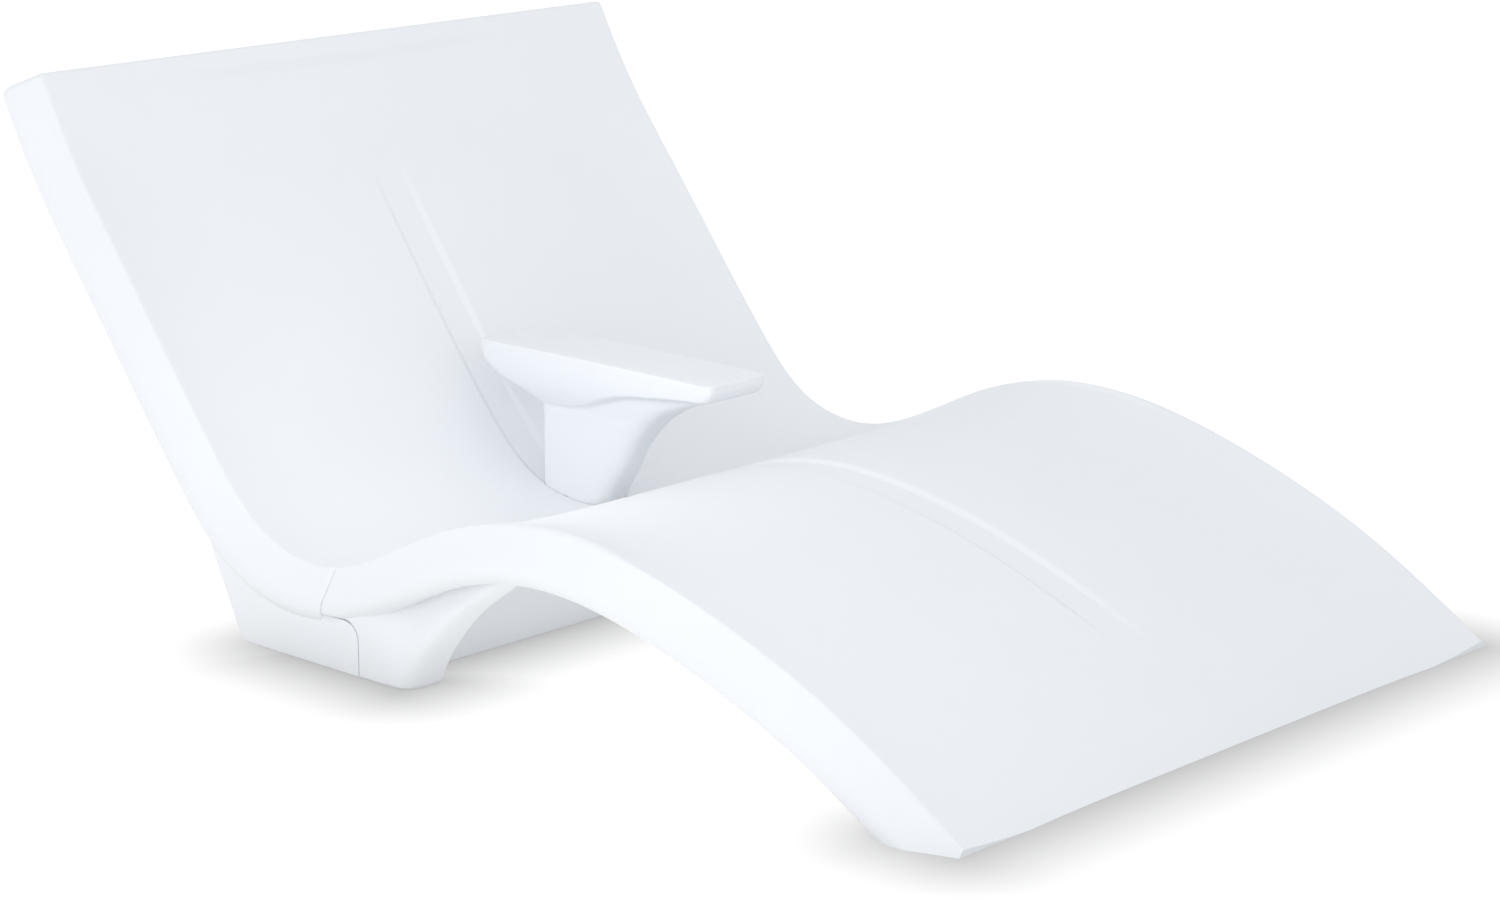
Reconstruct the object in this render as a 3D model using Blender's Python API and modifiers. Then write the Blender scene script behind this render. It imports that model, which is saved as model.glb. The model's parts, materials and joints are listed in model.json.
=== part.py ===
"""Two-seat pool lounger: two hollow moulded sections, a lift-out console and four filler ports.

Metres, +Z up. The origin is on the floor under the middle of the lounger, -Y is the toe and +Y
the backrest. Side outlines are worked out with Y counted from the toe, then moved by SHIFT.
"""

import math

import bmesh
import bpy
import numpy as np
from mathutils import Matrix, Vector

# Crease line of the bed, seen from the side: (distance from the toe, height).
TOE = (0.0, 0.010)
SHIN = (0.174, 0.117)
CALF = (0.400, 0.212)
KNEE = (0.676, 0.2685)
THIGH = (0.906, 0.228)
SEAT = (1.172, 0.132)
HIP = (1.285, 0.163)
LUMBAR = (1.376, 0.250)
SHOULDER = (1.572, 0.500)
HEAD = (1.690, 0.659)
TOP = (1.747, 0.760)
BURIED = (-0.110, -0.062)
PATH_STEPS = 45

# Cross-section of the bed.
HALF_WIDTH = 0.600
CREASE_HALF = 0.570
THICKNESS = 0.078
BEVEL_DEPTH = 0.048
DISH = 0.022
DISH_POWER = 5
DISH_STEPS = 9
EDGE_CROWDING = 0.6
CREASE_INSET = 1.2
UNDER_RADIUS = 0.022
UNDER_TURNS = (30, 60, 90)
WALL = 0.005
BED_MIDDLE = (DISH + THICKNESS) / 2
TOE_SOLID = 0.035

# Rear base, and the shelf that carries the front section.
BED_SEAM = 1.1230
BASE_SEAM = 1.0490
SHELF_HEIGHT = 0.075
SHELF_ROUND = 0.024
REAR_FOOT = 1.303
REAR_LEAN_TOP = (1.361, 0.122)
REAR_LEAN_RISE = 0.020
BASE_HALF = 0.597

# Front base: a straight wall between two curved braces.
FRONT_WALL = 1.008
BRACE_FOOT = 0.948
BRACE_MIDDLE = (0.905, 0.074)
BRACE_TIP = (0.790, 0.176)
BRACE_WIDTH = 0.095
BRACE_STEPS = 9

# Pegs on the shelf, which drop into pockets of the front section.
PEG_X = 0.300
PEG_RADIUS = 0.016
PEG_HEIGHT = 0.018
PEG_ROOT = 0.002

# Centre channel in the bed.
CHANNEL_HALF = 0.035
CHANNEL_SLOPE = 0.012
CHANNEL_DEPTH = 0.005
CHANNEL_LIFT = 0.012
CHANNEL_LIFT_POWER = 8
CHANNEL_CUT = 0.030
FRONT_CHANNEL = (0.270, 0.960)
REAR_CHANNEL = (1.285, 1.640)

# Console: an upright post with a flared tray.
POST_HALF = 0.0345
POST_BACK = 1.266
POST_FRONT = 1.138
POST_FOOT = 0.060
SOCKET_WALL_AHEAD = 0.018
# Levels of the console: (height, half width, front end, back end, power of the squared oval).
CONSOLE_LEVELS = (
    (POST_FOOT, POST_HALF, POST_FRONT, POST_BACK, 7),
    (0.125, POST_HALF, POST_FRONT, POST_BACK, 7),
    (0.170, POST_HALF, 1.108, POST_BACK, 7),
    (0.215, POST_HALF, 1.080, POST_BACK, 7),
    (0.250, 0.0365, 1.048, 1.268, 6),
    (0.262, 0.0400, 1.034, 1.284, 6),
    (0.278, 0.0530, 1.010, 1.325, 6),
    (0.298, 0.0600, 0.962, 1.356, 6),
    (0.316, 0.0620, 0.912, 1.369, 7),
    (0.332, 0.0620, 0.904, 1.371, 7),
    (0.340, 0.0600, 0.908, 1.367, 7),
)
CONSOLE_WALL = 0.004
RING_POINTS = 28
VENT_RADIUS = 0.005
VENT_STEPS = 16

# Filler ports: an insert moulded into the wall, a gasket and a screw plug.
REAR_PORT_X = 0.330
FRONT_PORT_X = 0.080
PORT_HEIGHT = 0.058
HOLE_REACH = (-0.050, 0.020)
BORE_RADIUS = 0.0155
BUSH_RADIUS = 0.0200
BUSH_LENGTH = 0.0200
FLANGE_RADIUS = 0.0250
FLANGE_DEPTH = 0.0030
STEM_RADIUS = 0.0148
STEM_LENGTH = 0.0180
GASKET_THICK = 0.0020
HEAD_RADIUS = 0.0235
HEAD_HEIGHT = 0.0080
HEAD_CHAMFER = 0.0012
GASKET_OVERHANG = 0.0006
GASKET_ROOM = 0.0010
SLOT = (0.030, 0.0045, 0.0035)
ROUND_STEPS = 32

# Clearances.
GAP = 0.0004
SEAM_GAP = 0.0008
SOCKET_GAP = 0.0010
BIG = 3.0


def clear_scene():
    for obj in list(bpy.data.objects):
        bpy.data.objects.remove(obj, do_unlink=True)


def collection(name):
    made = bpy.data.collections.new(name)
    bpy.context.scene.collection.children.link(made)
    return made


def material(name, colour, roughness, metallic=0.0):
    made = bpy.data.materials.new(name)
    made.use_nodes = True
    shader = made.node_tree.nodes["Principled BSDF"]
    shader.inputs["Base Color"].default_value = (*colour, 1.0)
    shader.inputs["Roughness"].default_value = roughness
    shader.inputs["Metallic"].default_value = metallic
    return made


def spline(knots, count):
    """Natural cubic spline through the knots, at even steps of chord length."""
    knots = np.array(knots, float)
    t = np.concatenate([[0.0], np.cumsum(np.linalg.norm(np.diff(knots, axis=0), axis=1))])
    h = np.diff(t)
    last = len(t) - 1
    system = np.eye(last + 1)
    right = np.zeros_like(knots)
    for i in range(1, last):
        system[i, i - 1:i + 2] = h[i - 1], 2 * (h[i - 1] + h[i]), h[i]
        right[i] = 6 * ((knots[i + 1] - knots[i]) / h[i] - (knots[i] - knots[i - 1]) / h[i - 1])
    bend = np.linalg.solve(system, right)
    at = np.linspace(0.0, t[-1], count)
    i = np.clip(np.searchsorted(t, at) - 1, 0, last - 1)
    a = ((t[i + 1] - at) / h[i])[:, None]
    b = 1.0 - a
    curve = (a**3 - a) * bend[i] + (b**3 - b) * bend[i + 1]
    return a * knots[i] + b * knots[i + 1] + curve * (h[i]**2)[:, None] / 6


CREASE = spline(
    [BURIED, TOE, SHIN, CALF, KNEE, THIGH, SEAT, HIP, LUMBAR, SHOULDER, HEAD, TOP], PATH_STEPS
)


def offset_line(points, depth):
    """The line moved by depth to its lower side, square to itself."""
    run = np.gradient(points, axis=0)
    run /= np.linalg.norm(run, axis=1)[:, None]
    return points + depth * np.column_stack([run[:, 1], -run[:, 0]])


REAR_END = offset_line(CREASE, THICKNESS)[-1, 0]
SHIFT = -REAR_END / 2


def line_between(depth, low, high):
    """Points of the line at this depth whose distance from the toe is from low to high."""
    line = offset_line(CREASE, depth)
    heights = np.interp([low, high], line[:, 0], line[:, 1])
    inside = line[(line[:, 0] > low + WALL) & (line[:, 0] < high - WALL)]
    return np.vstack([[low, heights[0]], inside, [high, heights[1]]])


def to_mesh(curve_object, home):
    """The curve object as a closed mesh object of the same name and place."""
    bpy.context.view_layer.update()
    graph = bpy.context.evaluated_depsgraph_get()
    mesh = bpy.data.meshes.new_from_object(curve_object.evaluated_get(graph))
    name, place = curve_object.name, curve_object.matrix_world.copy()
    bpy.data.objects.remove(curve_object, do_unlink=True)
    solid = bmesh.new()
    solid.from_mesh(mesh)
    bmesh.ops.transform(solid, matrix=place, verts=solid.verts)
    bmesh.ops.remove_doubles(solid, verts=solid.verts, dist=0.00001)
    bmesh.ops.recalc_face_normals(solid, faces=solid.faces)
    solid.to_mesh(mesh)
    solid.free()
    return new_object(name, mesh, home)


def new_object(name, mesh, home):
    made = bpy.data.objects.new(name, mesh)
    home.objects.link(made)
    return made


def poly_curve(name, points, home, cyclic=False, dimensions="3D"):
    data = bpy.data.curves.new(name, "CURVE")
    data.dimensions = dimensions
    line = data.splines.new("POLY")
    line.points.add(len(points) - 1)
    for point, co in zip(line.points, points):
        point.co = (*co, 1.0)
    line.use_cyclic_u = cyclic
    return new_object(name, data, home)


def extruded(name, outline, low_x, high_x, home):
    """A side outline, as (distance from the toe, height), carried across from low_x to high_x."""
    points = [(y + SHIFT, z, 0.0) for y, z in outline]
    made = poly_curve(name, points, home, cyclic=True, dimensions="2D")
    made.data.fill_mode = "BOTH"
    made.data.extrude = (high_x - low_x) / 2
    turn = Matrix(((0, 0, 1), (1, 0, 0), (0, 1, 0))).to_4x4()
    made.matrix_world = Matrix.Translation(((low_x + high_x) / 2, 0, 0)) @ turn
    return to_mesh(made, home)


def bed_section(inset):
    """Cross-section of the bed, as (across, above the crease line), inset by a wall."""
    across = np.linspace(-1.0, 1.0, DISH_STEPS * 2 - 1)
    across = np.sign(across) * np.abs(across)**EDGE_CROWDING
    half = CREASE_HALF - inset * CREASE_INSET
    top = [(half * s, -DISH * (1 - abs(s)**DISH_POWER) - inset) for s in across]
    side = [(HALF_WIDTH - inset, -BEVEL_DEPTH)]
    side += [
        (
            HALF_WIDTH - inset - UNDER_RADIUS * (1 - math.cos(turn)),
            -THICKNESS + inset + UNDER_RADIUS * (1 - math.sin(turn)),
        )
        for turn in np.radians(UNDER_TURNS)
    ]
    return top + side + [(-x, n) for x, n in reversed(side)]


def swept(name, section, line, home):
    """A closed section carried along a side line."""
    guide = poly_curve(name + "_section", [(x, n, 0.0) for x, n in section], home, True, "2D")
    path = poly_curve(name, [(0.0, y + SHIFT, z) for y, z in line], home)
    path.data.twist_mode = "Z_UP"
    path.data.bevel_mode = "OBJECT"
    path.data.bevel_object = guide
    path.data.use_fill_caps = True
    made = to_mesh(path, home)
    bpy.data.objects.remove(guide, do_unlink=True)
    return made


def box(name, low, high, home):
    """A box between two corners, with Y counted from the toe."""
    solid = bmesh.new()
    bmesh.ops.create_cube(solid, size=1.0)
    low, high = Vector(low), Vector(high)
    size = high - low
    middle = (low + high) / 2 + Vector((0, SHIFT, 0))
    bmesh.ops.scale(solid, vec=size, verts=solid.verts)
    bmesh.ops.translate(solid, vec=middle, verts=solid.verts)
    mesh = bpy.data.meshes.new(name)
    solid.to_mesh(mesh)
    solid.free()
    return new_object(name, mesh, home)


def cylinder(name, radius, low, high, place, home, steps=ROUND_STEPS):
    """A cylinder from low to high along the Z axis of place."""
    solid = bmesh.new()
    bmesh.ops.create_cone(
        solid, cap_ends=True, segments=steps, radius1=radius, radius2=radius, depth=high - low
    )
    bmesh.ops.translate(solid, vec=(0, 0, (low + high) / 2), verts=solid.verts)
    bmesh.ops.transform(solid, matrix=place, verts=solid.verts)
    mesh = bpy.data.meshes.new(name)
    solid.to_mesh(mesh)
    solid.free()
    return new_object(name, mesh, home)


def turned(name, profile, home, steps=ROUND_STEPS):
    """A ring or disc turned from a closed profile of (radius, height), in its own frame."""
    mesh = bpy.data.meshes.new(name)
    count = len(profile)
    mesh.from_pydata([(r, 0.0, z) for r, z in profile], [(i, (i + 1) % count) for i in range(count)], [])
    made = new_object(name, mesh, home)
    screw = made.modifiers.new("turn", "SCREW")
    screw.steps = steps
    screw.render_steps = steps
    screw.use_merge_vertices = True
    screw.merge_threshold = 0.00001
    return made


def boolean(target, cutter, operation):
    step = target.modifiers.new(cutter.name, "BOOLEAN")
    step.operation = operation
    step.object = cutter


def join_all(target, others):
    for other in others:
        boolean(target, other, "UNION")


def cut_all(target, others):
    for other in others:
        boolean(target, other, "DIFFERENCE")


def paint(target, finish):
    target.data.materials.clear()
    target.data.materials.append(finish)


def rear_base_outline(inset):
    """Side outline of the rear base, with its top inside the bed."""
    lean = math.atan2(REAR_LEAN_TOP[0] - REAR_FOOT, REAR_LEAN_TOP[1])
    foot = REAR_FOOT + inset * (math.tan(lean) - 1 / math.cos(lean))
    top_y = REAR_LEAN_TOP[0] - inset / math.cos(lean) + REAR_LEAN_RISE * math.tan(lean)
    shelf = SHELF_HEIGHT - inset
    front = BASE_SEAM + inset
    radius = SHELF_ROUND - inset
    corner = [
        (front + radius * (1 - math.sin(turn)), shelf - radius * (1 - math.cos(turn)))
        for turn in np.radians((0, 22.5, 45, 67.5, 90))
    ]
    step = BED_SEAM + inset
    top = line_between(BED_MIDDLE, step, top_y)
    return [(foot, inset), *map(tuple, top[::-1]), (step, shelf), *corner, (front, inset)]


def front_wall_outline(inset):
    """Side outline of the front base wall, with the lap that lies on the shelf."""
    step = BASE_SEAM - SEAM_GAP - inset
    end = BED_SEAM - SEAM_GAP - inset
    lap = SHELF_HEIGHT + SEAM_GAP + inset
    top = line_between(BED_MIDDLE, FRONT_WALL + inset, end)
    return [(FRONT_WALL + inset, inset), (step, inset), (step, lap), (end, lap), *map(tuple, top[::-1])]


def brace_outline(inset):
    """Side outline of a front brace: its free edge curves from the foot up to the bed."""
    step = BASE_SEAM - SEAM_GAP - inset
    foot = (BRACE_FOOT + inset, 0.0)
    bend = (BRACE_MIDDLE[0] + inset, BRACE_MIDDLE[1])
    tip = (BRACE_TIP[0] + 2 * inset, BRACE_TIP[1])
    edge = spline([foot, bend, tip], BRACE_STEPS)
    if inset:
        edge = edge[edge[:, 1] > inset]
    top = line_between(BED_MIDDLE, edge[-1, 0], step)
    return [(step, inset), *map(tuple, top[::-1]), *map(tuple, edge[::-1])]


def channel_cutter(name, span, home):
    """A shallow trough along the bed that rises out of the surface at both ends."""
    low, high = span
    line = CREASE[(CREASE[:, 0] > low) & (CREASE[:, 0] < high)]
    share = (line[:, 0] - low) / (high - low)
    lift = CHANNEL_LIFT * np.abs(2 * share - 1)**CHANNEL_LIFT_POWER
    deep = offset_line(line, DISH + CHANNEL_DEPTH)
    line = deep + (line - deep) * (lift / (DISH + CHANNEL_DEPTH))[:, None]
    floor = CHANNEL_HALF - CHANNEL_SLOPE
    side = [(floor, 0.0), (CHANNEL_HALF, CHANNEL_DEPTH), (CHANNEL_HALF, CHANNEL_CUT)]
    section = side + [(-x, n) for x, n in reversed(side)]
    return swept(name, section, line, home)


def ring(half, front, back, height, power, inset):
    """One level of the console: a squared oval, as points in plan."""
    angles = np.linspace(0, 2 * math.pi, RING_POINTS, endpoint=False) + math.pi / RING_POINTS
    c, s = np.cos(angles), np.sin(angles)
    x = (half - inset) * np.sign(c) * np.abs(c)**(2 / power)
    y = (front + back) / 2 + ((back - front) / 2 - inset) * np.sign(s) * np.abs(s)**(2 / power)
    return np.column_stack([x, y + SHIFT, np.full(RING_POINTS, height)])


def console_solid(name, inset, home):
    """The console lofted from its foot to the tray; inset gives the hollow inside it."""
    rings = [ring(half, front, back, z, power, inset) for z, half, front, back, power in CONSOLE_LEVELS]
    rings[0][:, 2] += inset
    rings[-1][:, 2] -= inset
    rings[-2][:, 2] -= inset
    n = RING_POINTS
    sides = [
        (k * n + i, k * n + (i + 1) % n, (k + 1) * n + (i + 1) % n, (k + 1) * n + i)
        for k in range(len(rings) - 1)
        for i in range(n)
    ]
    caps = [tuple(reversed(range(n))), tuple(range((len(rings) - 1) * n, len(rings) * n))]
    mesh = bpy.data.meshes.new(name)
    mesh.from_pydata(np.vstack(rings).tolist(), [], sides + caps)
    return new_object(name, mesh, home)


def port_place(section, side):
    """Frame of a port: its Z axis points out of the wall at the port's centre."""
    if section == "front":
        middle = Vector((side * FRONT_PORT_X, FRONT_WALL + SHIFT, PORT_HEIGHT))
        out = Vector((0, -1, 0))
    else:
        run = Vector((0, REAR_LEAN_TOP[0] - REAR_FOOT, REAR_LEAN_TOP[1])).normalized()
        middle = Vector((side * REAR_PORT_X, REAR_FOOT + SHIFT, 0)) + run * (PORT_HEIGHT / run.z)
        out = Vector((0, run.z, -run.y))
    across = Vector((1, 0, 0))
    turn = Matrix((across, out.cross(across), out)).transposed().to_4x4()
    return Matrix.Translation(middle) @ turn


def port_pieces(name, place, home, cutters, finishes):
    """The insert, the gasket and the screw plug of one port, on an empty at the port."""
    seat = bpy.data.objects.new(name + "_axis", None)
    home.objects.link(seat)
    seat.matrix_world = place
    insert = turned(name + "_insert", [
        (FLANGE_RADIUS, 0), (FLANGE_RADIUS, -FLANGE_DEPTH), (BUSH_RADIUS, -FLANGE_DEPTH),
        (BUSH_RADIUS, -BUSH_LENGTH), (BORE_RADIUS, -BUSH_LENGTH), (BORE_RADIUS, 0),
    ], home)
    outer = HEAD_RADIUS + GASKET_OVERHANG
    inner = BORE_RADIUS + GASKET_ROOM
    high = GAP + GASKET_THICK
    gasket = turned(name + "_gasket", [(outer, high), (outer, GAP), (inner, GAP), (inner, high)], home)
    under = high + GAP
    top = under + HEAD_HEIGHT
    plug = turned(name + "_plug", [
        (0, top), (HEAD_RADIUS - HEAD_CHAMFER, top), (HEAD_RADIUS, top - HEAD_CHAMFER),
        (HEAD_RADIUS, under), (STEM_RADIUS, under), (STEM_RADIUS, -STEM_LENGTH + HEAD_CHAMFER),
        (STEM_RADIUS - HEAD_CHAMFER, -STEM_LENGTH), (0, -STEM_LENGTH),
    ], home)
    long, wide, deep = SLOT
    low_corner = (-long / 2, -wide / 2 - SHIFT, top - deep)
    slot = box(name + "_slot", low_corner, (long / 2, wide / 2 - SHIFT, top + deep), cutters)
    slot.parent = seat
    boolean(plug, slot, "DIFFERENCE")
    for piece, finish in zip((insert, gasket, plug), finishes):
        piece.parent = seat
        paint(piece, finish)


def port_holes(name, place, cutters):
    """The hole and the counterbore for an insert, as cutters."""
    low, high = HOLE_REACH
    hole = cylinder(name + "_hole", BUSH_RADIUS + GAP, low, high, place, cutters)
    seat = -FLANGE_DEPTH - GAP
    return [hole, cylinder(name + "_counterbore", FLANGE_RADIUS + GAP, seat, high, place, cutters)]


def pegs(name, radius, low, high, cutters):
    """The two upright pegs of the shelf, or the cutters for their pockets."""
    middle = (BASE_SEAM + BED_SEAM) / 2 + SHIFT
    return [
        cylinder(f"{name}_{label}", radius, low, high, Matrix.Translation((x, middle, 0)), cutters)
        for label, x in (("left", -PEG_X), ("right", PEG_X))
    ]


def socket_box(name, room, low, cutters, front_room=None):
    """The space of the console's post in the seat, made larger by room on each side."""
    ahead = room if front_room is None else front_room
    corner = (-POST_HALF - room, POST_FRONT - ahead, low)
    return box(name, corner, (POST_HALF + room, POST_BACK + room, BIG), cutters)


def rear_section(home, cutters, finish):
    shell = swept("rear_section_shell", bed_section(0.0), CREASE, home)
    ahead = box("rear_ahead", (-BIG, -BIG, -BIG), (BIG, BED_SEAM, BIG), cutters)
    block = extruded("rear_block", rear_base_outline(0.0), -BASE_HALF, BASE_HALF, cutters)
    posts = pegs("peg", PEG_RADIUS, SHELF_HEIGHT - PEG_ROOT, SHELF_HEIGHT + PEG_HEIGHT, cutters)
    inner = swept("rear_hollow", bed_section(WALL), CREASE[:-1], cutters)
    inner_ahead = box("rear_hollow_ahead", (-BIG, -BIG, -BIG), (BIG, BED_SEAM + WALL, BIG), cutters)
    inner_block = extruded(
        "rear_hollow_block", rear_base_outline(WALL), WALL - BASE_HALF, BASE_HALF - WALL, cutters
    )
    depth = POST_FOOT - GAP - WALL
    lining = socket_box("socket_lining", SOCKET_GAP + WALL, depth, cutters, SOCKET_WALL_AHEAD)
    cut_all(inner, [inner_ahead])
    join_all(inner, [inner_block])
    cut_all(inner, [lining])
    socket = socket_box("socket", SOCKET_GAP, POST_FOOT - GAP, cutters)
    channel = channel_cutter("rear_channel", REAR_CHANNEL, cutters)
    cut_all(shell, [ahead])
    join_all(shell, [block, *posts])
    cut_all(shell, [inner, socket, channel])
    for label, side in (("fill", -1), ("drain", 1)):
        cut_all(shell, port_holes("rear_" + label, port_place("rear", side), cutters))
    paint(shell, finish)


def front_section(home, cutters, finish):
    shell = swept("front_section_shell", bed_section(0.0), CREASE, home)
    edge = BED_SEAM - SEAM_GAP
    lap = SHELF_HEIGHT + SEAM_GAP
    behind = box("front_behind", (-BIG, edge, -BIG), (BIG, BIG, BIG), cutters)
    below = box("front_below", (-BIG, -BIG, -BIG), (BIG, BIG, 0.0), cutters)
    ahead = box("front_ahead", (-BIG, -BIG, -BIG), (BIG, 0.0, BIG), cutters)
    under = box("front_under_lap", (-BIG, BASE_SEAM - SEAM_GAP, -BIG), (BIG, BIG, lap), cutters)
    wall = extruded("front_wall", front_wall_outline(0.0), -BASE_HALF, BASE_HALF, cutters)
    braces = [
        extruded(f"brace_{label}", brace_outline(0.0), *span, cutters)
        for label, span in (
            ("left", (-BASE_HALF + GAP, -BASE_HALF + BRACE_WIDTH)),
            ("right", (BASE_HALF - BRACE_WIDTH, BASE_HALF - GAP)),
        )
    ]
    inner = swept("front_hollow", bed_section(WALL), CREASE, cutters)
    inner_behind = box("front_hollow_behind", (-BIG, edge - WALL, -BIG), (BIG, BIG, BIG), cutters)
    inner_below = box("front_hollow_below", (-BIG, -BIG, -BIG), (BIG, BIG, WALL), cutters)
    inner_ahead = box("front_hollow_ahead", (-BIG, -BIG, -BIG), (BIG, TOE_SOLID, BIG), cutters)
    step = BASE_SEAM - SEAM_GAP - WALL
    inner_under = box("front_hollow_under", (-BIG, step, -BIG), (BIG, BIG, lap + WALL), cutters)
    inner_wall = extruded(
        "front_hollow_wall", front_wall_outline(WALL), WALL - BASE_HALF, BASE_HALF - WALL, cutters
    )
    inner_braces = [
        extruded(f"hollow_brace_{label}", brace_outline(WALL), *span, cutters)
        for label, span in (
            ("left", (-BASE_HALF + GAP + WALL, -BASE_HALF + BRACE_WIDTH - WALL)),
            ("right", (BASE_HALF - BRACE_WIDTH + WALL, BASE_HALF - GAP - WALL)),
        )
    ]
    pocket_radius = PEG_RADIUS + SOCKET_GAP
    linings = pegs("pocket_lining", pocket_radius + WALL, 0.0, lap + PEG_HEIGHT + WALL, cutters)
    cut_all(inner, [inner_behind, inner_below, inner_ahead, inner_under])
    join_all(inner, [inner_wall, *inner_braces])
    cut_all(inner, linings)
    pockets = pegs("pocket", pocket_radius, 0.0, SHELF_HEIGHT + PEG_HEIGHT + SOCKET_GAP, cutters)
    channel = channel_cutter("front_channel", FRONT_CHANNEL, cutters)
    cut_all(shell, [behind, below, ahead, under])
    join_all(shell, [wall, *braces])
    cut_all(shell, [inner, *pockets, channel])
    for label, side in (("fill", -1), ("drain", 1)):
        cut_all(shell, port_holes("front_" + label, port_place("front", side), cutters))
    paint(shell, finish)


def console(home, cutters, finish):
    shell = console_solid("console_shell", 0.0, home)
    hollow = console_solid("console_hollow", CONSOLE_WALL, cutters)
    middle = Matrix.Translation((0, (POST_FRONT + POST_BACK) / 2 + SHIFT, 0))
    vent = cylinder("console_vent", VENT_RADIUS, 0.0, 2 * POST_FOOT, middle, cutters, VENT_STEPS)
    cut_all(shell, [hollow, vent])
    paint(shell, finish)


def main():
    clear_scene()
    home = collection("pool_lounger")
    cutters = collection("cutters")
    white = material("white_polyethylene", (0.93, 0.94, 0.95), 0.42)
    rubber = material("gasket_rubber", (0.05, 0.05, 0.055), 0.75)
    nylon = material("plug_nylon", (0.88, 0.89, 0.90), 0.35)
    brass = material("insert_brass", (0.78, 0.62, 0.32), 0.30, 1.0)
    rear_section(home, cutters, white)
    front_section(home, cutters, white)
    console(home, cutters, white)
    for section in ("rear", "front"):
        for label, side in (("fill", -1), ("drain", 1)):
            place = port_place(section, side)
            port_pieces(f"{section}_{label}", place, home, cutters, (brass, rubber, nylon))
    for cutter in cutters.objects:
        cutter.hide_render = True
        cutter.display_type = "WIRE"


main()
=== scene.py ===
# %% [markdown]
# # A two-seat pool lounger, moulded in white polyethylene
#
# The lounger is three hollow mouldings and four screw plugs. A rear moulding carries the
# backrest, a front moulding carries the wave-shaped foot end, and a console with a tray drops
# into a socket between the two seats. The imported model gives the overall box, the joints and
# the place of every port. Here each moulding is made again as one fine surface, worked out
# with numpy. All sizes are metres.

# %% Load the frame
import json
import math

import bpy
import numpy as np
from mathutils import Matrix, Vector


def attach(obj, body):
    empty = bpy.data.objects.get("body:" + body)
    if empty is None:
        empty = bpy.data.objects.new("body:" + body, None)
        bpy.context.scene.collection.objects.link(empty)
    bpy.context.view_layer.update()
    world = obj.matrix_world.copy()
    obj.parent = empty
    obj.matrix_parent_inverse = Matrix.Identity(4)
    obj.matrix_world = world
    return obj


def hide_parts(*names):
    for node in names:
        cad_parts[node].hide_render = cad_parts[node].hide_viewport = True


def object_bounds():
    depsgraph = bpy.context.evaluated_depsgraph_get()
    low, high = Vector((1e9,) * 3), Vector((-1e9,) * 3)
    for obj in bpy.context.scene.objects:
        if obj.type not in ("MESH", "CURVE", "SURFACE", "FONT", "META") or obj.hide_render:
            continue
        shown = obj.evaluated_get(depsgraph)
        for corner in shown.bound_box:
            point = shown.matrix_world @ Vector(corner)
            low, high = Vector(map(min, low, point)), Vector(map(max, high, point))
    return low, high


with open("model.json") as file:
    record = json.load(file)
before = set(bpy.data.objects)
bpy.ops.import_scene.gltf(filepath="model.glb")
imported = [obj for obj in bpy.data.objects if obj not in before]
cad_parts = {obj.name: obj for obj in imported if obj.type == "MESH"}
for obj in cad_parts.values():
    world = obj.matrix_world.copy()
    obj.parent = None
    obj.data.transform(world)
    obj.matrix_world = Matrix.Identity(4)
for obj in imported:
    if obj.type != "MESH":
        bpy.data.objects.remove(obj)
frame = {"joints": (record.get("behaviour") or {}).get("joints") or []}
cad_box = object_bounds()
HALF_WIDTH = float(cad_box[1][0])
TOE_Y = float(cad_box[0][1])
HEIGHT = float(cad_box[1][2])
print("half width", round(HALF_WIDTH, 4), "toe at y", round(TOE_Y, 4), "height", round(HEIGHT, 4))

# %% [markdown]
# ## The side line
#
# Everything hangs on one line: the crease between the bed and its bevelled edge, seen from the
# side. It rises from the toe over a knee hump, dips into the seat and climbs up the backrest.
# It could be drawn as a Bezier curve, whose handles need care at every knot. A natural cubic
# spline needs only the knots, and bends as little as it can between them, as a template batten
# does. That suits a moulding that has no flat stretches. Distances are counted from the toe.

# %% Side line of the bed
SIDE_KNOTS = [
    (-0.110, -0.062), (0.0, 0.010), (0.174, 0.117), (0.400, 0.212), (0.676, 0.2685),
    (0.906, 0.228), (1.172, 0.132), (1.285, 0.163), (1.376, 0.250), (1.572, 0.500),
    (1.690, 0.659), (1.747, HEIGHT),
]
LINE_STEPS = 4001


def batten(knots, at):
    """Natural cubic spline through the knots, by chord length; at runs from 0 to 1. Between two
    knots it is their straight mix plus a cubic: (a^3 - a) times the bend at one knot and
    (b^3 - b) times the bend at the next, where a and b are the shares of the two knots. The
    bends are solved for together, so that the slope never jumps, and are zero at both ends."""
    knots = np.array(knots, float)
    t = np.concatenate([[0.0], np.cumsum(np.linalg.norm(np.diff(knots, axis=0), axis=1))])
    gap = np.diff(t)
    last = len(gap)
    rows = np.arange(1, last)
    system = np.eye(last + 1)
    system[rows, rows - 1] = gap[:-1]
    system[rows, rows] = 2 * (gap[:-1] + gap[1:])
    system[rows, rows + 1] = gap[1:]
    slope = np.diff(knots, axis=0) / gap[:, None]
    jump = np.zeros_like(knots)
    jump[1:-1] = 6 * np.diff(slope, axis=0)
    bend = np.linalg.solve(system, jump)
    at = np.asarray(at) * t[-1]
    i = np.clip(np.searchsorted(t, at) - 1, 0, last - 1)
    a = ((t[i + 1] - at) / gap[i])[..., None]
    b = 1 - a
    curve = (a**3 - a) * bend[i] + (b**3 - b) * bend[i + 1]
    return a * knots[i] + b * knots[i + 1] + curve * gap[i][..., None]**2 / 6


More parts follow.
